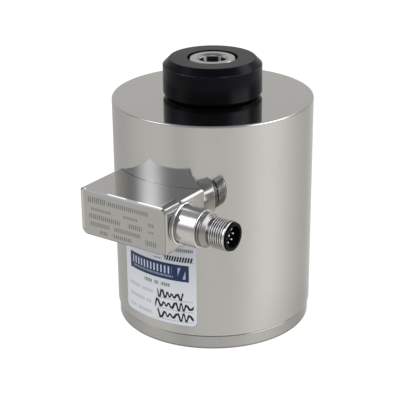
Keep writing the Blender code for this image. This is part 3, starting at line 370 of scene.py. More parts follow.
def makeBoxSteel(low, high, saddle):  # its corners and the radius of its saddle
    steel = makeSteel("milledSteel", False)
    x, y, z = steel.parts(steel.place)
    back, down, up = y - low.y, high.z - z, z - low.z
    face = 1 - back.rise(0.03, 0.1)
    chamfer = back < boxShading["chamfer"]
    upper = down < 0.9
    # painted shade: dark lines along the front chamfer, at its inner edge and at its foot
    line = back.rise(0.02, 0.05) * (1 - back.rise(0.12, 0.24)) * (1 - upper)
    footShade = back.rise(0.02, 0.05) * chamfer * (up < 0.75)
    # stretches where the top chamfer is spared the painted shade
    bright = (x - boxShading["brightFrom"]).rise(-1.0, 1.0) \
        * (1 - (x - boxShading["brightTo"]).rise(-1.0, 1.0)) \
        + (x - boxShading["brightRight"]).rise(-1.0, 1.0) \
        + (1 - abs(x - boxShading["brightCorner"]).rise(0.4, 0.9)) * 0.7
    chipped = steel.noise(steel.place, 0.9, 2.0).rise(0.45, 0.6)
    # painted shade where the box top meets the sleeve, broken up by noise
    apart = (x * x + y * y) ** 0.5 - saddle
    seamShade = (1 - apart.rise(0.15, 0.4)) * (down < 0.3) \
        * ((1 - (x - boxShading["seamLeft"]).rise(-4.0, 1.0))
           + (x - boxShading["seamRight"]).rise(-4.0, 2.0) + chipped * 0.5).least(1.0)
    ahead = back < boxShading["step"]
    # painted highlight: a near-white line across the top of the front part
    ridge = (1 - abs(x - boxShading["ridge"]).rise(0.1, 0.25)) * (down < 0.1) * ahead * (back > 2.0)
    # painted shade on the top right round
    shadeStrip = (x - boxShading["shadeStripFrom"]).rise(-0.1, 0.1) \
        * (1 - (x - boxShading["shadeStripTo"]).rise(-0.2, 0.2)) * (down < 0.3) * ahead * (1 - chamfer)
    # painted highlight: a lighter band near the front face's left end
    highlightBand = (1 - abs(x - low.x - 1.5).rise(0.2, 0.5)) * (up > 2.75) * face
    # painted shade on the top chamfer, but for the spared stretches
    wearAndPaintedLight = (1 - bright * back.rise(0.34, 0.44)) * chamfer * (back > 0.02) * upper
    # all the painted shade on the box's edges, seam and round
    borderShade = (line * 0.8 + footShade * 0.9).least(0.9) + wearAndPaintedLight * 0.8 + seamShade * 0.8 + shadeStrip * 0.4
    hatch = (x - z * 0.12).maths("PINGPONG", 0.5)
    marks = 0.0
    for start, end, lower, higher in boxMarks:
        marks = (abs(x - (start + end) / 2) < (end - start) / 2) \
            * (abs(z - (lower + higher) / 2) < (higher - lower) / 2) + marks
    marks = marks * (hatch.rise(0.22, 0.34) * 0.9 + 0.08) * face
    # painted shade: the front face is a darker copy of the steel
    tint = steel.mix(face, steel.tint,
                     [steelLook["frontTone"] * level for level in steelLook["colour"]])
    # painted highlights on the top line and the left band
    tint = steel.mix(ridge + highlightBand * 0.35, tint, (0.95, 0.95, 0.94))
    # engraving and painted shade, in the dark mark colour
    tint = steel.mix((marks * 0.8 + borderShade).least(1.0), tint, steelLook["mark"])
    steel.set("Base Color", tint)
    return steel


capLook = {"colour": (0.0014, 0.0015, 0.0024), "top": (0.005, 0.005, 0.0045),
           "wearAndPaintedLight": (0.035, 0.035, 0.042), "roughness": 0.2}


def makeCapBlack(edgeHeight, edgeRadius):
    black = Finish("blackOxide", capLook["colour"], capLook["roughness"], 0.0,
                   Specular_IOR_Level=0.1)
    x, y, z = black.parts(black.place)
    fromAxis = (x * x + y * y) ** 0.5
    # lighter specks along the chamfer edge, with dust: partly wear, partly painted highlight
    edge = 1 - (abs(z - edgeHeight) + abs(fromAxis - edgeRadius)).rise(0.05, 0.4)
    chips = black.noise(black.scaled(black.place, (0.13, 0.13, 1.0)), 1.0, 3.0, 0.6).rise(0.42, 0.6)
    dust = black.noise(black.place, 1.6, 3.0, 0.6).rise(0.62, 0.8)
    upper = (z > edgeHeight + 2.6) * (fromAxis > 10.5)
    shade = black.mix(upper, capLook["colour"], capLook["top"])
    wearAndPaintedLight = (edge * chips + dust * 0.03).least(1.0)
    black.set("Base Color", black.mix(wearAndPaintedLight, shade, capLook["wearAndPaintedLight"]))
    haze = black.noise(black.place, 0.12, 3.0).rise(0.35, 0.75)
    black.set("Roughness", capLook["roughness"] + haze * 0.07)
    black.bump(black.noise(black.scaled(black.place, (0.05, 0.05, 4.0)), 1.0), 0.0006 * mm)
    return black


def makePlating(name, colour, roughness):
    plating = Finish(name, colour, roughness, 1.0)
    stain = plating.noise(plating.place, 0.6, 4.0, 0.6).rise(0.48, 0.75)
    plating.shine = roughness + stain * 0.1
    plating.set("Roughness", plating.shine)
    plating.tint = plating.mix(stain * 0.35, colour, [0.8 * level for level in colour])
    plating.set("Base Color", plating.tint)
    scratches = plating.noise(plating.scaled(plating.place, (5.0, 0.35, 0.35)), 1.0, 3.0)
    plating.bump(scratches, 0.0009 * mm)
    return plating


def makeBossNickel(low, high):  # painted shade in the undercut behind the flange, painted highlight on the flange
    nickel = makePlating("bossNickel", (0.62, 0.60, 0.57), 0.13)
    x, y, z = nickel.parts(nickel.place)
    undercut = (x - low).rise(0.0, 0.12) * (1 - (x - high).rise(-0.2, 0.25))
    # painted highlight: the flange is a lighter copy of the nickel
    tint = nickel.mix(x < low, nickel.tint, (0.76, 0.75, 0.73))
    # painted shade in the undercut
    nickel.set("Base Color", nickel.mix(undercut * 0.6, tint, (0.15, 0.14, 0.125)))
    return nickel


def makeShellNickel(threadFrom, axisY, axisZ):  # rougher collar with painted shade; painted shade above and below the thread and in its roots
    nickel = makePlating("shellNickel", (0.74, 0.72, 0.69), 0.17)
    x, y, z = nickel.parts(nickel.place)
    along, height = x - threadFrom, z - axisZ
    outward = ((y - axisY) ** 2.0 + height ** 2.0) ** 0.5
    thread = along > -0.6
    collar = 1 - along.rise(-0.7, -0.5)
    # painted shade on the collar
    tint = nickel.mix(collar * 0.7, nickel.tint, (0.16, 0.15, 0.135))
    # painted shade above and below the thread
    grimeAndShade = (height.rise(2.4, 5.0) * 0.65 + (1 - height.rise(-2.6, 0.6)) * 0.85) * thread
    tint = nickel.mix(grimeAndShade, tint, (0.3, 0.29, 0.275))
    # painted shade in the thread roots
    root = (1 - outward.rise(5.6, 5.9)) * thread
    nickel.set("Base Color", nickel.mix(root * 0.92, tint, (0.07, 0.065, 0.06)))
    nickel.set("Roughness", nickel.shine + collar * 0.14)
    return nickel


def makeMachined(name, colour, roughness, grain=(0.2, 0.2, 5.0)):
    metal = Finish(name, colour, roughness, 1.0)
    lines = metal.noise(metal.scaled(metal.place, grain), 1.0, 3.0)
    metal.set("Roughness", roughness + lines * 0.12)
    metal.bump(lines, 0.0015 * mm)
    return metal


screwLook = {"colour": (0.47, 0.465, 0.45), "wall": (0.9, 0.89, 0.87),
             "keyShade": (0.02, 0.02, 0.018), "keyRadius": 6.6, "mouth": 0.7, "floor": 9.7}


def makeScrewSteel(top):  # its key is rougher and painted lighter, with painted shade below the mouth but for the corners
    steel = makeMachined("screwSteel", screwLook["colour"], 0.1)
    x, y, z = steel.parts(steel.place)
    radius, depth = (x * x + y * y) ** 0.5, top - z
    key = (radius < screwLook["keyRadius"]) * (depth > screwLook["mouth"]) \
        * (depth < screwLook["floor"])
    # painted shade below the key's mouth
    keyShade = key * depth.rise(0.85, 1.3) * (1 - radius.rise(5.88, 6.1)) * 0.97
    # painted light: the key's walls are a lighter copy of the screw's colour
    tint = steel.mix(key, screwLook["colour"], screwLook["wall"])
    steel.set("Base Color", steel.mix(keyShade, tint, screwLook["keyShade"]))
    steel.set("Roughness", key * 0.5 + 0.16)
    return steel


def makeMoulded(name, colour, roughness, grain=8.0, gloss=0.5):
    plastic = Finish(name, colour, roughness, 0.0, Specular_IOR_Level=gloss)
    skin = plastic.noise(plastic.place, grain, 3.0)
    plastic.set("Roughness", roughness + skin * 0.12)
    shade = [0.75 * level for level in colour]
    plastic.set("Base Color", plastic.mix(skin * 0.3, colour, shade))
    plastic.bump(skin, 0.002 * mm)
    return plastic


def makeLaminate():
    resin, track = (0.03, 0.16, 0.06), (0.09, 0.28, 0.10)
    board = Finish("solderMask", resin, 0.35, 0.0)
    x, y, z = board.parts(board.place)
    pattern = board.noise(board.scaled(board.place, (0.5, 0.5, 0.0)), 1.0, 0.0)
    copper = (1 - abs(pattern - 0.5).rise(0.008, 0.02)) * (abs(x + y) > 4.0)
    board.set("Base Color", board.mix(copper, resin, track))
    board.bump(copper, 0.03 * mm)
    return board


def makeGaugeFilm():
    foil, grid = (0.52, 0.27, 0.06), (0.62, 0.42, 0.30)
    film = Finish("gaugeFilm", foil, 0.4, 0.0)
    x, y, z = film.parts(film.place)
    lines = (x + y).maths("PINGPONG", 0.35)
    film.set("Base Color", film.mix(lines > 0.2, foil, grid))
    return film


labelLook = {"film": (0.58, 0.587, 0.597), "shade": (0.51, 0.515, 0.525),
             "blue": (0.011, 0.026, 0.078), "pale": (0.52, 0.56, 0.64), "grey": (0.30, 0.31, 0.33),
             "ink": (0.010, 0.010, 0.012), "panel": (-15.2, 15.0, 30.3, 37.7)}
# left, right, low, high, pitch of the hatching, its lean and its strength
panelMarks = [(-13.4, 7.6, 33.0, 36.3, 1.75, 0.0, 1.0), (-13.2, 8.2, 31.5, 32.4, 0.62, 0.0, 0.8),
              (10.2, 13.6, 31.5, 36.4, 4.0, 0.35, 0.7)]
greyMarks = [(-16.3, -9.4, 22.3, 23.8, 0.9, 0.0, 0.75), (-8.2, -1.6, 22.2, 23.7, 0.9, 0.0, 0.7),
             (-16.3, -6.6, 17.4, 18.9, 0.9, 0.0, 0.75), (-5.2, -2.6, 17.3, 18.8, 0.9, 0.0, 0.7),
             (-16.3, -12.0, 12.5, 14.0, 0.9, 0.0, 0.75), (-10.8, -2.4, 12.4, 13.9, 0.9, 0.0, 0.7)]
darkMarks = [(4.4, 16.7, 39.0, 41.3, 1.15, 0.3, 1.0), (-1.2, 3.0, 39.0, 39.5, 1.15, 0.3, 0.8),
             (9.6, 16.7, 43.5, 45.0, 0.85, 0.0, 0.8), (-6.3, -2.2, 27.0, 28.6, 0.95, 0.0, 0.75),
             (-0.8, 1.2, 27.0, 28.6, 0.95, 0.0, 0.75), (2.4, 6.6, 27.0, 28.6, 0.95, 0.0, 0.75)]
ruleLines = [(0.0, 16.6, 21.25, 21.6), (0.0, 16.8, 16.45, 16.8), (0.0, 16.8, 11.7, 12.05)]
# left, right, height, swing, waves per millimetre and start of each line of pen
penLines = [(0.5, 12.6, 23.2, 1.35, 0.43, 0.4), (-0.8, 16.9, 18.6, 1.45, 0.37, 2.0),
            (0.3, 16.9, 13.9, 1.5, 0.34, 1.1)]


def makeLabelPrint(radius):
    label = Finish("labelFilm", labelLook["film"], 0.38, 0.0, Specular_IOR_Level=0.3)
    x, y, z = label.parts(label.place)
    arc = x.maths("ARCTAN2", 0 - y) * (radius / mm)
    speck = label.noise(label.place, 3.0, 2.0)

    def field(left, right, low, high):
        return (abs(arc - (left + right) / 2) < (right - left) / 2) \
            * (abs(z - (low + high) / 2) < (high - low) / 2)

    def hatched(left, right, low, high, pitch, lean, strength, share):  # bars that say nothing
        ridge = (arc - z * lean).maths("PINGPONG", pitch / 2)
        edge = (1 - share) / 2
        return field(left, right, low, high) * strength \
            * ridge.rise(pitch * (edge - 0.05), pitch * (edge + 0.05))

    def total(marks, share):
        held = 0.0
        for mark in marks:
            held = hatched(*mark, share) + held
        return held.least(1.0)

    def penLine(left, right, height, swing, waves, start):
        turn = arc * (2 * pi * waves) + (arc * 0.9 + start).maths("SINE") * 0.8
        tall = (arc * 0.55 + start).maths("SINE") * 0.3 + 0.7
        line = z - height - turn.maths("SINE") * tall * swing
        slope = turn.maths("COSINE") * tall * (swing * 2 * pi * waves)
        apart = abs(line) / (slope * slope + 1.0) ** 0.5
        return (1 - apart.rise(0.38, 0.53)) * (arc > left) * (arc < right)

    panel = field(*labelLook["panel"])
    rules, pen = 0.0, 0.0
    for line in ruleLines:
        rules = field(*line) + rules
    for line in penLines:
        pen = penLine(*line) + pen
    colour = label.mix(speck * 0.12, labelLook["film"], labelLook["shade"])
    colour = label.mix((rules * 0.8).least(1.0), colour, labelLook["grey"])
    colour = label.mix(total(greyMarks, 0.68), colour, labelLook["grey"])
    colour = label.mix((total(darkMarks, 0.68) + pen).least(1.0), colour, labelLook["ink"])
    colour = label.mix(panel, colour, labelLook["blue"])
    colour = label.mix(panel * total(panelMarks, 0.38), colour, labelLook["pale"])
    label.set("Base Color", colour)
    label.set("Roughness", 0.34 + speck * 0.1)
    label.bump(label.noise(label.place, 0.4, 2.0), 0.004 * mm)
    return label


cap = {"sides": 160, "chamfer": 2.75, "footChamfer": 1.5, "recess": 10.4, "web": 4.4,
       "hole": 6.3, "edge": 0.22}
capLow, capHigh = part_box("load_cap")
boxLow, boxHigh = [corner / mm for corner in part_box("connector_box")]  # millimetres
axis = middleOf("connector_shell") / mm
# where the plating's painted shade and painted highlight change, past the box's face and past the
# boss
platingShading = {"undercutFrom": 0.9, "undercutTo": 2.0, "threadFrom": 4.2}
turnedSteel = makeSteel("turnedSteel", True)
baseSteel = makeBaseSteel()
milledSteel = makeBoxSteel(boxLow, boxHigh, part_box("housing_sleeve")[1].x / mm)
capBlack = makeCapBlack(capHigh.z / mm - cap["chamfer"], capHigh.x / mm)
bossNickel = makeBossNickel(boxHigh.x + platingShading["undercutFrom"],
                            boxHigh.x + platingShading["undercutTo"])
shellNickel = makeShellNickel(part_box("connector_boss")[1].x / mm + platingShading["threadFrom"],
                              axis.y, axis.z)
screwSteel = makeScrewSteel(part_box("cap_screw")[1].z / mm)
innerSteel = makeMachined("innerSteel", (0.52, 0.51, 0.49), 0.24)
insertPlastic = makeMoulded("insertPlastic", (0.002, 0.002, 0.0022), 0.4, 8.0, 0.08)
goldPlating = makePlating("goldPlating", (0.84, 0.78, 0.64), 0.3)
sealRubber = makeMoulded("sealRubber", (0.018, 0.018, 0.02), 0.6, 4.0)
postNylon = makeMoulded("postNylon", (0.72, 0.71, 0.68), 0.42)
leadSheath = makeMoulded("leadSheath", (0.27, 0.27, 0.28), 0.45, 3.0)
boardLaminate = makeLaminate()
gaugeFilm = makeGaugeFilm()
labelPrint = makeLabelPrint(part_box("housing_sleeve")[1].x)
print("finishes made")

finishOf = {"polished_steel": turnedSteel, "machined_steel": innerSteel, "black_cap": capBlack,
            "nickel": bossNickel, "screw_steel": screwSteel, "black_plastic": insertPlastic,
            "gold_contact": goldPlating, "seal_rubber": sealRubber,
            "board_laminate": boardLaminate, "gauge_foil": gaugeFilm,
            "white_plastic": postNylon, "lead_sheath": leadSheath, "label_film": labelPrint}
for name, node in frame["nodes"].items():
    for materialSlot in node.material_slots:
        materialSlot.material = finishOf[slotOf[name]].material


# Housing sleeve, a cup with its closed end up

sleeve = {"sides": 224, "wall": 8.5, "lid": 8.0, "lidBore": 17.0, "topEdge": 0.6,
          "footEdge": 0.45, "edge": 0.2, "port": 5.0, "boxScrewHole": 1.8, "boxHeadHole": 3.05,
          "boxScrewGrip": 4.0, "baseScrewHole": 1.8}


def makeSleeve():
    low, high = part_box("housing_sleeve")
    size = metres(sleeve)
    bore, underside = high.x - size.wall, high.z - size.lid
    outline = softened([
        (size.lidBore, high.z, size.edge), (high.x, high.z, size.topEdge),
        (high.x, low.z, size.footEdge), (bore, low.z, size.edge),
        (bore, underside, 0), (size.lidBore, underside, size.edge)], True)
    piece = spinOutline("housingSleeve", outline, sleeve["sides"])
    bpy.ops.object.mode_set(mode="EDIT")
    for height in (boxLow.z * mm + mm, boxHigh.z * mm - mm):  # keep the cuts under the box
        bpy.ops.mesh.select_all(action="SELECT")
        bpy.ops.mesh.bisect(plane_co=(0.0, 0.0, height), plane_no=(0.0, 0.0, 1.0))
    bpy.ops.object.mode_set(mode="OBJECT")
    port = middleOf("connector_shell").z
    cutters = [addRod(size.port, (0.0, -bore / 2, port), (0.0, -high.x - mm, port))]
    for number in (1, 2, 3, 4):
        x, y, z = middleOf(f"box_screw_{number}")
        seat = size.boxScrewGrip - sqrt(high.x ** 2 - x ** 2)
        cutters.append(addRod(size.boxHeadHole, (x, -bore / 2, z), (x, seat, z)))
        cutters.append(addRod(size.boxScrewHole, (x, seat + mm, z), (x, -high.x - mm, z), 20))
    for number in range(1, 7):
        x, y, z = middleOf(f"sleeve_screw_{number}")
        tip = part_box(f"sleeve_screw_{number}")[1].z
        cutters.append(addRod(size.baseScrewHole, (x, y, low.z - mm), (x, y, tip + mm), 20))
    combine(piece, cutters)
    shadeRound(piece)
    dress(piece, turnedSteel, "polished_steel", "housing_sleeve")


makeSleeve()
print("sleeve done")


# Base plate with its register, seal groove and overload pad

base = {"sides": 224, "height": 5.8, "registerTop": 11.4, "register": 33.2, "pad": 8.0,
        "grooveRadius": 31.3, "grooveLow": 7.6, "grooveHigh": 9.6, "edge": 0.35, "small": 0.3,
        "screwHole": 1.8, "sink": 3.3, "sinkLip": 0.3, "elementHole": 2.3, "play": 0.3}


def makeBase():
    low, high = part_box("base_plate")
    size = metres(base)
    outline = softened([
        (0.0, high.z, 0), (size.pad, high.z, size.small), (size.pad, size.registerTop, 0),
        (size.register, size.registerTop, size.small),
        (size.register, size.grooveHigh, 0), (size.grooveRadius, size.grooveHigh, 0),
        (size.grooveRadius, size.grooveLow, 0), (size.register, size.grooveLow, 0),
        (size.register, size.height, 0), (high.x, size.height, size.small),
        (high.x, low.z, size.edge), (0.0, low.z, 0)], False)
    piece = spinOutline("basePlate", outline, base["sides"])
    hole, sink, lip = size.screwHole, size.sink, size.sinkLip
    cutters = []
    for number in range(1, 7):
        x, y, z = middleOf(f"sleeve_screw_{number}")
        cutters.append(spinOutline("countersink", [
            (0.0, size.height + mm), (hole, size.height + mm), (hole, sink - hole + lip),
            (sink, lip), (sink, -mm), (0.0, -mm)], 32, middle=(x, y, 0.0)))
    for number in range(1, 5):
        x, y, z = middleOf(f"element_screw_{number}")
        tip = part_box(f"element_screw_{number}")[0].z
        cutters.append(addRod(size.elementHole, (x, y, tip - size.play),
                              (x, y, size.registerTop + mm), 24))
    combine(piece, cutters)
    shadeRound(piece)
    dress(piece, baseSteel, "polished_steel", "base_plate")


makeBase()
print("base done")


# Load cap

def makeCap():
    low, high = capLow, capHigh
    size = metres(cap)
    outline = softened([
        (size.recess, high.z, size.edge),
        (high.x - size.chamfer, high.z, size.edge),
        (high.x, high.z - size.chamfer, size.edge),
        (high.x, low.z + size.footChamfer, size.edge),
        (high.x - size.footChamfer, low.z, size.edge),
        (size.hole, low.z, 0), (size.hole, low.z + size.web, 0),
        (size.recess, low.z + size.web, 0)], True, 4, 0.15 * mm)
    piece = spinOutline("loadCap", outline, cap["sides"])
    shadeRound(piece)
    dress(piece, capBlack, "black_cap", "load_cap")


makeCap()
print("cap done")


# Cap screw: socket head with a chamfered key hole

capScrew = {"sides": 128, "head": 10.8, "rimChamfer": 0.5, "edge": 0.12, "key": 11.0,
            "keyDepth": 6.5, "keyTurn": 4.2, "mouth": 0.4, "mouthSlope": 0.6, "shank": 6.0,
            "tip": 0.8, "drill": 4.6, "drillDepth": 3.0}


def makeCapScrew():
    low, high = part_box("cap_screw")
    size = metres(capScrew)
    seat = high.z - size.head
    outline = softened([
        (0.0, high.z, 0), (high.x - size.rimChamfer, high.z, size.edge),
        (high.x, high.z - size.rimChamfer, size.edge), (high.x, seat, size.edge),
        (size.shank, seat, 0), (size.shank, low.z + size.tip, 0),
        (size.shank - size.tip, low.z, 0), (0.0, low.z, 0)], False, 4, 0.1 * mm)
    piece = spinOutline("capScrew", outline, capScrew["sides"])
    floor = high.z - size.keyDepth
    hexagon = addRod(size.key / sqrt(3), (0.0, 0.0, floor), (0.0, 0.0, high.z + mm), 6)
    hexagon.rotation_euler = (0.0, 0.0, radians(capScrew["keyTurn"]))
    activate(hexagon)
    bpy.ops.object.transform_apply()
    flat, mouth = size.key / 2, size.key / sqrt(3) + size.mouth
    mouthFloor = high.z - (mouth - flat) * capScrew["mouthSlope"]
    lip = spinOutline("lip", [(0.0, high.z + mm), (mouth, high.z + mm), (mouth, high.z),
                              (flat, mouthFloor), (0.0, mouthFloor)], 96)
    drill = spinOutline("drill", [(0.0, floor + mm), (size.drill, floor + mm),
                                  (size.drill, floor), (0.0, floor - size.drillDepth)], 48)
    combine(piece, [hexagon, lip, drill])
    shadeRound(piece, 28.0, True)
    dress(piece, screwSteel, "screw_steel", "cap_screw")


makeCapScrew()
print("cap screw done")


# Connector box, one milled block with a saddle back

box = {"frontDepth": 10.4, "topLeft": 1.4, "bottomLeft": 2.8, "topRight": 2.7,
       "bottomRight": 2.0, "rearRight": 0.7, "frontEdge": 0.75, "leftWall": 12.9,
       "rightWall": 8.0, "frontWall": 4.4, "floorWall": 3.4, "corner": 3.0, "bore": 6.6,
       "gasketReach": 1.7, "gasketDepth": 1.0, "saddleGap": 0.05, "screwHole": 1.7,
       "screwPlay": 0.3}


def makeBox():
    low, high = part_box("connector_box")
    size = metres(box)
    near = 0.05 * mm
    step = low.y + size.frontDepth
    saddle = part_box("housing_sleeve")[1].x + size.saddleGap
    axisPoint = middleOf("connector_shell")

    def alongY(edgeX, edgeZ):
        return lambda a, b: all(abs(p.x - edgeX) < near and abs(p.z - edgeZ) < near
                                for p in (a, b))

    def onFront(a, b):
        return all(abs(p.y - low.y) < near for p in (a, b))

    piece = addBlock("connectorBox", low, (high.x, step, high.z))
    rear = addBlock("rearBlock", (low.x, step - mm / 100, low.z), (high.x, -saddle / 2, high.z))
    for part, topRight, bottomRight in ((piece, size.topRight, size.bottomRight),
                                        (rear, size.rearRight, size.rearRight)):
        bevelEdges(part, alongY(low.x, high.z), size.topLeft, 8)
        bevelEdges(part, alongY(low.x, low.z), size.bottomLeft, 10)
        bevelEdges(part, alongY(high.x, high.z), topRight, 10 if part is piece else 1)
        bevelEdges(part, alongY(high.x, low.z), bottomRight, 10 if part is piece else 1)
    bevelEdges(piece, onFront, size.frontEdge, 1)
    combine(piece, [rear], "UNION")
    pocketLow = Vector((low.x + size.leftWall, low.y + size.frontWall,
                        low.z + size.floorWall))
    pocketHigh = Vector((high.x - size.rightWall, -saddle / 2, high.z - size.floorWall))

    def roundedPocket(name, reach):
        grow = Vector((reach, 0.0, reach))
        pocket = addBlock(name, pocketLow - grow, pocketHigh + grow)
        bevelEdges(pocket, lambda a, b: abs(a.x - b.x) < near and abs(a.z - b.z) < near,
                   size.corner, 6)
        return pocket

    recess = roundedPocket("gasketRecess", size.gasketReach)
    combine(recess, [addRod(saddle + size.gasketDepth, (0.0, 0.0, low.z - mm),
                            (0.0, 0.0, high.z + mm), 224)], "INTERSECT")
    cutters = [addRod(saddle, (0.0, 0.0, low.z - mm), (0.0, 0.0, high.z + mm), 224),
               roundedPocket("pocket", 0.0), recess,
               addRod(size.bore, (pocketHigh.x - mm, *axisPoint[1:]),
                      (high.x + mm, *axisPoint[1:]), 64)]
    for number in (1, 2, 3, 4):
        x, y, z = middleOf(f"box_screw_{number}")
        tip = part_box(f"box_screw_{number}")[0].y - size.screwPlay
        cutters.append(addRod(size.screwHole, (x, tip, z), (x, -saddle / 2, z), 20))
    combine(piece, cutters)
    shadeRound(piece, 28.0, True)
    dress(piece, milledSteel, "polished_steel", "connector_box")


makeBox()
print("connector box done")


# Connector boss, shell, insert and pins, all along +X

connectorAt = (0.0, *middleOf("connector_shell")[1:])
boss = {"sides": 128, "length": 9.9, "flange": 0.6, "flangeRadius": 8.7, "bodyRadius": 7.86,
        "tail": 6.3, "bore": 4.4, "socket": 5.5, "socketDepth": 4.0, "edge": 0.45,
        "small": 0.12, "grooveRadius": 4.9, "grooveFrom": 3.0, "grooveTo": 1.4,
        "undercut": 7.35, "undercutTo": 1.7, "slope": 0.3, "rim": 0.26, "seat": 0.06}


def makeBoss():
    low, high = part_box("connector_boss")
    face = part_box("connector_box")[1].x
    size = metres(boss)
    start = high.x - size.length
    flange, undercutEnd = start + size.flange, start + size.undercutTo
    seat = face + size.seat
    outline = softened([
        (size.socket, high.x, size.small), (size.bodyRadius, high.x, size.edge),
        (size.bodyRadius, undercutEnd, size.small),
        (size.undercut, undercutEnd - size.slope, 0), (size.undercut, flange, 0),
        (size.flangeRadius - size.rim, flange, 0),
        (size.flangeRadius, flange - size.rim, 0),
        (size.flangeRadius, seat, size.small), (size.tail, seat, 0),
        (size.tail, face - size.grooveTo, 0), (size.grooveRadius, face - size.grooveTo, 0),
        (size.grooveRadius, face - size.grooveFrom, 0),
        (size.tail, face - size.grooveFrom, 0), (size.tail, low.x, 0),
        (size.bore, low.x, 0), (size.bore, high.x - size.socketDepth, 0),
        (size.socket, high.x - size.socketDepth, 0)], True, 4, 0.08 * mm)
    piece = spinOutline("connectorBoss", outline, boss["sides"], "x", connectorAt)
    shadeRound(piece)
    dress(piece, bossNickel, "nickel", "connector_boss")


shell = {"sides": 128, "tail": 5.2, "tailLength": 3.4, "rearBore": 4.2, "bore": 4.9,
         "boreStep": 5.0, "collar": 6.9, "collarLength": 1.6, "taper": 1.3, "neck": 5.3,
         "neckLength": 1.0, "root": 5.35, "crest": 6.0, "pitch": 1.0, "turns": 7,
         "leadIn": 0.3, "edge": 0.1, "groove": 6.3, "grooveFrom": 0.6, "grooveTo": 0.95,
         "seat": 0.24, "runOut": 0.55, "halfRidge": 0.46, "sunk": 0.1, "steps": 72,
         "rootSlope": 0.35, "neckSlope": 0.3, "collarRim": 0.25, "collarRimLength": 0.35,
         "collarRound": 0.15}
ridgeFlank = [(0.42, 0.37), (0.17, 0.27), (0.05, 0.17), (0.0, 0.06)]  # below the crest, aside


def makeShell():
    low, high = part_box("connector_shell")
    size = metres(shell)
    start = low.x + size.tailLength
    collarEnd = start + size.collarLength
    taperEnd = collarEnd + size.taper
    threadStart = taperEnd + size.neckLength
    threadEnd = threadStart + shell["turns"] * size.pitch
    step = low.x + size.boreStep
    seat = start - size.seat
    outline = softened([
        (size.bore, high.x, 0), (size.crest - size.leadIn, high.x, size.edge),
        (size.crest, high.x - size.leadIn, size.edge), (size.crest, threadEnd, 0),
        (size.root, threadEnd - size.rootSlope, 0), (size.root, threadStart, 0),
        (size.neck, threadStart - size.neckSlope, 0), (size.neck, taperEnd, 0),
        (size.collar - size.collarRim, collarEnd, size.collarRound),
        (size.collar, collarEnd - size.collarRimLength, size.edge),
        (size.collar, start + size.grooveTo, size.edge),
        (size.groove, start + size.grooveTo, 0), (size.groove, start + size.grooveFrom, 0),
        (size.collar, start + size.grooveFrom, size.edge),
        (size.collar, seat, size.edge), (size.tail, seat, 0),
        (size.tail, low.x, 0), (size.rearBore, low.x, 0), (size.rearBore, step, 0),
        (size.bore, step, 0)], True, 4, 0.05 * mm)
    piece = spinOutline("connectorShell", outline, shell["sides"], "x", connectorAt)
    combine(piece, [makeThread(threadStart, size)], "UNION")
    shadeRound(piece, 30.0)
    dress(piece, shellNickel, "nickel", "connector_shell")


def makeThread(start, size):
    # one ridge section, screwed along the axis and closed at both ends
    half, sunk = size.halfRidge, size.root - size.sunk
    section = [(sunk, -half), (size.root, -half)] \
        + [(size.crest - below * mm, -aside * mm) for below, aside in ridgeFlank] \
        + [(size.crest - below * mm, aside * mm) for below, aside in reversed(ridgeFlank)] \
        + [(size.root, half), (sunk, half), (sunk, -half)]
    ridge = drawOutline("ridge", section)
    bpy.ops.mesh.remove_doubles(threshold=0.002 * mm)
    bpy.ops.object.mode_set(mode="OBJECT")
    turns = shell["turns"] - shell["runOut"]
    rise = size.pitch * turns
    helix = ridge.modifiers.new("helix", "SCREW")
    helix.angle = 2 * pi * turns
    helix.screw_offset = rise
    helix.steps = helix.render_steps = int(shell["steps"] * turns)
    bpy.ops.object.modifier_apply(modifier=helix.name)
    bpy.ops.object.mode_set(mode="EDIT")
    bpy.ops.mesh.select_mode(type="EDGE")
    for end in (0.0, rise):
        selectEdges(ridge, lambda a, b: all(abs(p.z - end) <= half + 0.01 * mm
                                            and atEnd(p, end) for p in (a, b)))
        bpy.ops.mesh.edge_face_add()
    bpy.ops.mesh.select_all(action="SELECT")
    bpy.ops.mesh.normals_make_consistent(inside=False)
    bpy.ops.object.mode_set(mode="OBJECT")
    ridge.rotation_euler = (0.0, pi / 2, 0.0)
    ridge.location = (start + half, connectorAt[1], connectorAt[2])
    bpy.ops.object.transform_apply()
    return ridge


def atEnd(point, end):  # the ridge starts at angle 0 and stops in its last turn
    angle = 360.0 * ((shell["turns"] - shell["runOut"]) % 1.0) if end else 0.0
    apart = abs(degrees(atan2(point.y, point.x)) % 360.0 - angle)
    return min(apart, 360.0 - apart) < 0.5


insert = {"sides": 96, "lip": 5.5, "lipLength": 0.65, "body": 4.6, "recess": 4.25,
          "recessDepth": 7.6, "tail": 3.9, "tailLength": 3.0, "keyWidth": 0.9,
          "keyHeight": 0.55, "keySunk": 0.15, "floorSunk": 0.2, "edge": 0.12, "pinPlay": 0.02}
pin = {"sides": 20, "radius": 0.5, "tipRound": 0.47}


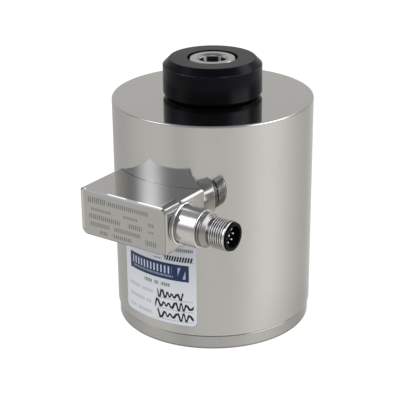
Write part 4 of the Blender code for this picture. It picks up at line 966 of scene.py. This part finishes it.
def makeInsert():
    low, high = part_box("contact_insert")
    size = metres(insert)
    floor = high.x - size.recessDepth
    lipBack = high.x - size.lipLength
    tailEnd = low.x + size.tailLength
    outline = softened([
        (0.0, floor, 0), (size.recess, floor, 0), (size.recess, high.x, size.edge),
        (size.lip, high.x, size.edge), (size.lip, lipBack, size.edge / 2),
        (size.body, lipBack, 0), (size.body, tailEnd, 0), (size.tail, tailEnd, 0),
        (size.tail, low.x, 0), (0.0, low.x, 0)], False, 3, 0.05 * mm)
    piece = spinOutline("contactInsert", outline, insert["sides"], "x", connectorAt)
    wall = connectorAt[1] - size.recess
    half, sunk = size.keyWidth / 2, size.floorSunk
    key = addBlock("key", (floor - sunk, wall - size.keySunk, connectorAt[2] - half),
                   (high.x - mm, wall + size.keyHeight, connectorAt[2] + half))
    combine(piece, [key], "UNION")
    places = [middleOf(f"contact_pin_{number}")[1:] for number in range(1, 9)]
    combine(piece, [addRod(pin["radius"] * mm + size.pinPlay, (low.x - mm, *place),
                           (floor + sunk, *place), 20) for place in places])
    shadeRound(piece, 28.0)
    dress(piece, insertPlastic, "black_plastic", "contact_insert")


def makePins():
    pinLow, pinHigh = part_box("contact_pin_1")
    radius = pin["radius"] * mm
    outline = softened([(0.0, pinHigh.x, 0), (radius, pinHigh.x, pin["tipRound"] * mm),
                        (radius, pinLow.x, 0.1 * mm), (0.0, pinLow.x, 0)], False, 5, 0.02 * mm)
    model = spinOutline("contactPin", outline, pin["sides"], "x")
    shadeRound(model, 40.0)
    for number in range(1, 9):
        activate(model)
        bpy.ops.object.duplicate()
        piece = bpy.context.object
        piece.name = f"contactPin{number}"
        piece.location = (0.0, *middleOf(f"contact_pin_{number}")[1:])
        bpy.ops.object.transform_apply()
        dress(piece, goldPlating, "gold_contact", f"contact_pin_{number}")
    bpy.data.objects.remove(model)


makeBoss()
makeShell()
makeInsert()
makePins()
print("connector done")


# Label film on the sleeve

labelFilm = {"thickness": 0.12, "gap": 0.01, "corner": 2.0, "sides": 320}


def makeLabel():
    low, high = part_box("sleeve_label")
    size = metres(labelFilm)
    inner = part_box("housing_sleeve")[1].x + size.gap
    outer = inner + size.thickness
    near = 0.05 * mm
    outline = [(inner, high.z + mm), (outer, high.z + mm), (outer, low.z - mm),
               (inner, low.z - mm), (inner, high.z + mm)]
    piece = spinOutline("sleeveLabel", outline, labelFilm["sides"])
    patch = addBlock("patch", (low.x, low.y - mm, low.z), (high.x, -inner / 2, high.z))
    bevelEdges(patch, lambda a, b: abs(a.x - b.x) < near and abs(a.z - b.z) < near,
               size.corner, 8)
    combine(piece, [patch], "INTERSECT")
    shadeRound(piece)
    dress(piece, labelPrint, "label_film", "sleeve_label")


makeLabel()
print("label done")


# Studio: a pale floor, surroundings that the steel mirrors, one fill lamp and the camera

studio = {"dark": 0.43, "overhead": 0.15, "far": 0.65, "farHeading": 124.0, "floor": 0.80,
          "floorEdge": 0.52, "green": (0.04, 0.995), "blue": (0.16, 0.975),
          # heading, tightness and level of each soft patch below the horizon
          "lobes": [(10.0, 7.0, 0.30), (82.0, 9.0, -0.16), (180.0, 8.0, -0.17),
                    (-92.0, 30.0, -0.10), (138.0, 8.0, -0.27)],
          # heading, elevation, half width, half height, how soft its edge is, level
          "softBoxes": [(12.0, 22.0, 0.42, 0.36, 0.4, 3.6), (39.0, 44.0, 0.56, 0.11, 0.3, 2.9)],
          # heading, width of the fade, elevation from and to of the rise and of the fall, level
          "glow": (-133.0, 0.31, (7.0, 38.5), (50.0, 58.0), 3.4)}
floorLook = {"size": 8.0, "gap": 0.0002, "colour": (0.8, 0.8, 0.795), "lift": 0.8, "white": 1.15}
fillLamp = {"size": 0.9, "energy": 9.0, "colour": (1.0, 0.99, 0.97), "heading": -88.0,
            "elevation": 42.0, "distance": 1.5, "aim": 0.05}


def headingVector(heading, elevation=0.0):
    flat = cos(radians(elevation))
    return Vector((flat * cos(radians(heading)), flat * sin(radians(heading)),
                   sin(radians(elevation))))


def makeSurroundings():
    world = bpy.data.worlds.new("studio")
    bpy.context.scene.world = world
    world.use_nodes = True
    sheet = NodeSheet(world.node_tree)
    direction = sheet.node("ShaderNodeTexCoord", None, None, "Generated")
    x, y, z = sheet.parts(direction)
    flat = ((x * x + y * y) ** 0.5).most(0.001)

    def lobe(heading, tightness):
        facing = sheet.dot(direction, headingVector(heading)) / flat
        return facing.most(0.0) ** tightness

    far = lobe(studio["farHeading"], 1.0).rise(0.25, 0.9) * (1 - z.rise(0.6, 0.85))
    cool = (1 - far) * z.rise(0.0, 0.08)
    above = studio["dark"] - z.rise(0.8, 0.95) * studio["overhead"]
    above = above + far * (studio["far"] - above)
    below = studio["floor"]
    for heading, tightness, level in studio["lobes"]:
        below = below + lobe(heading, tightness) * level
    depth = (0 - z).rise(0.0, 0.32)
    below = studio["floorEdge"] + depth * (below - studio["floorEdge"])
    below = below + far * (1 - depth) * (studio["far"] - studio["floorEdge"])
    level = above + (0 - z).rise(-0.04, 0.03) * (below - above)
    heading, width, risen, fallen, strength = studio["glow"]
    ahead = sheet.dot(direction, headingVector(heading))
    side = sheet.dot(direction, headingVector(heading + 90.0)) / ahead.most(0.05) / width
    patch = (0 - side * side).maths("EXPONENT") * (ahead > 0.05) \
        * z.rise(*[sin(radians(given)) for given in risen]) \
        * (1 - z.rise(*[sin(radians(given)) for given in fallen]))
    level = level + patch * (strength - level)
    for heading, elevation, halfWidth, halfHeight, soft, strength in studio["softBoxes"]:
        middle = headingVector(heading, elevation)
        across = Vector((-middle.y, middle.x, 0.0)).normalized()
        upward = middle.cross(across)
        facing = sheet.dot(direction, middle)
        side = abs(sheet.dot(direction, across) / facing.most(0.05))
        lift = abs(sheet.dot(direction, upward) / facing.most(0.05))
        patch = (1 - side.rise(halfWidth * (1 - soft), halfWidth * (1 + soft))) \
            * (1 - lift.rise(halfHeight * (1 - soft), halfHeight * (1 + soft))) * (facing > 0.1)
        level = level + patch * (strength - level)
    background = world.node_tree.nodes["Background"]
    camera = sheet.node("ShaderNodeLightPath", None, None, "Is Camera Ray")
    (greenRise, green), (blueRise, blue) = studio["green"], studio["blue"]
    tone = sheet.node("ShaderNodeCombineColor", None, {
        0: level, 1: level * (cool * greenRise + green), 2: level * (cool * blueRise + blue)})
    sheet.feed(background.inputs["Color"], sheet.mix(camera, tone, (1.0, 1.0, 1.0)))


def makeFloor():
    deselect()
    bpy.ops.mesh.primitive_plane_add(size=floorLook["size"],
                                     location=(0.0, 0.0, -floorLook["gap"]))
    floor = bpy.context.object
    floor.name = "studioFloor"
    material = bpy.data.materials.new("paleFloor")
    material.use_nodes = True
    tree = material.node_tree
    sheet = NodeSheet(tree)
    camera = sheet.node("ShaderNodeLightPath", None, None, "Is Camera Ray")
    lit = sheet.node("ShaderNodeBsdfDiffuse", None, {"Color": floorLook["colour"]})
    white = sheet.node("ShaderNodeEmission", None, {"Strength": floorLook["white"]})
    soft = sheet.node("ShaderNodeMixShader", None, {0: floorLook["lift"], 1: lit, 2: white})
    shown = sheet.node("ShaderNodeMixShader", None, {0: camera, 1: lit, 2: soft})
    sheet.feed(tree.nodes["Material Output"].inputs["Surface"], shown)
    floor.data.materials.append(material)
    floor.visible_glossy = False


def makeLamp():
    lamp = bpy.data.lights.new("fillLamp", "AREA")
    lamp.shape = "SQUARE"
    lamp.size = fillLamp["size"]
    lamp.energy = fillLamp["energy"]
    lamp.color = fillLamp["colour"]
    fill = bpy.data.objects.new("fillLamp", lamp)
    fill.location = headingVector(fillLamp["heading"], fillLamp["elevation"]) \
        * fillLamp["distance"]
    aim = fill.location - Vector((0.0, 0.0, fillLamp["aim"]))
    fill.rotation_euler = aim.to_track_quat("Z", "Y").to_euler()
    fill.visible_glossy = False
    bpy.context.scene.collection.objects.link(fill)


view = {"place": (275.67, -405.33, 251.6), "heading": 34.884, "tilt": 67.626, "roll": -0.555,
        "lens": 110.7}


def makeCamera():
    lens = bpy.data.cameras.new("camera")
    lens.sensor_width = 36.0
    lens.lens = view["lens"]
    lens.clip_start = 0.01
    camera = bpy.data.objects.new("camera", lens)
    bpy.context.scene.collection.objects.link(camera)
    camera.matrix_world = (Matrix.Translation(Vector(view["place"]) * mm)
                           @ Matrix.Rotation(radians(view["heading"]), 4, "Z")
                           @ Matrix.Rotation(radians(view["tilt"]), 4, "X")
                           @ Matrix.Rotation(radians(view["roll"]), 4, "Z"))
    bpy.context.scene.camera = camera


makeSurroundings()
makeFloor()
makeLamp()
makeCamera()
bpy.context.scene.view_settings.view_transform = "Standard"
print("studio done")
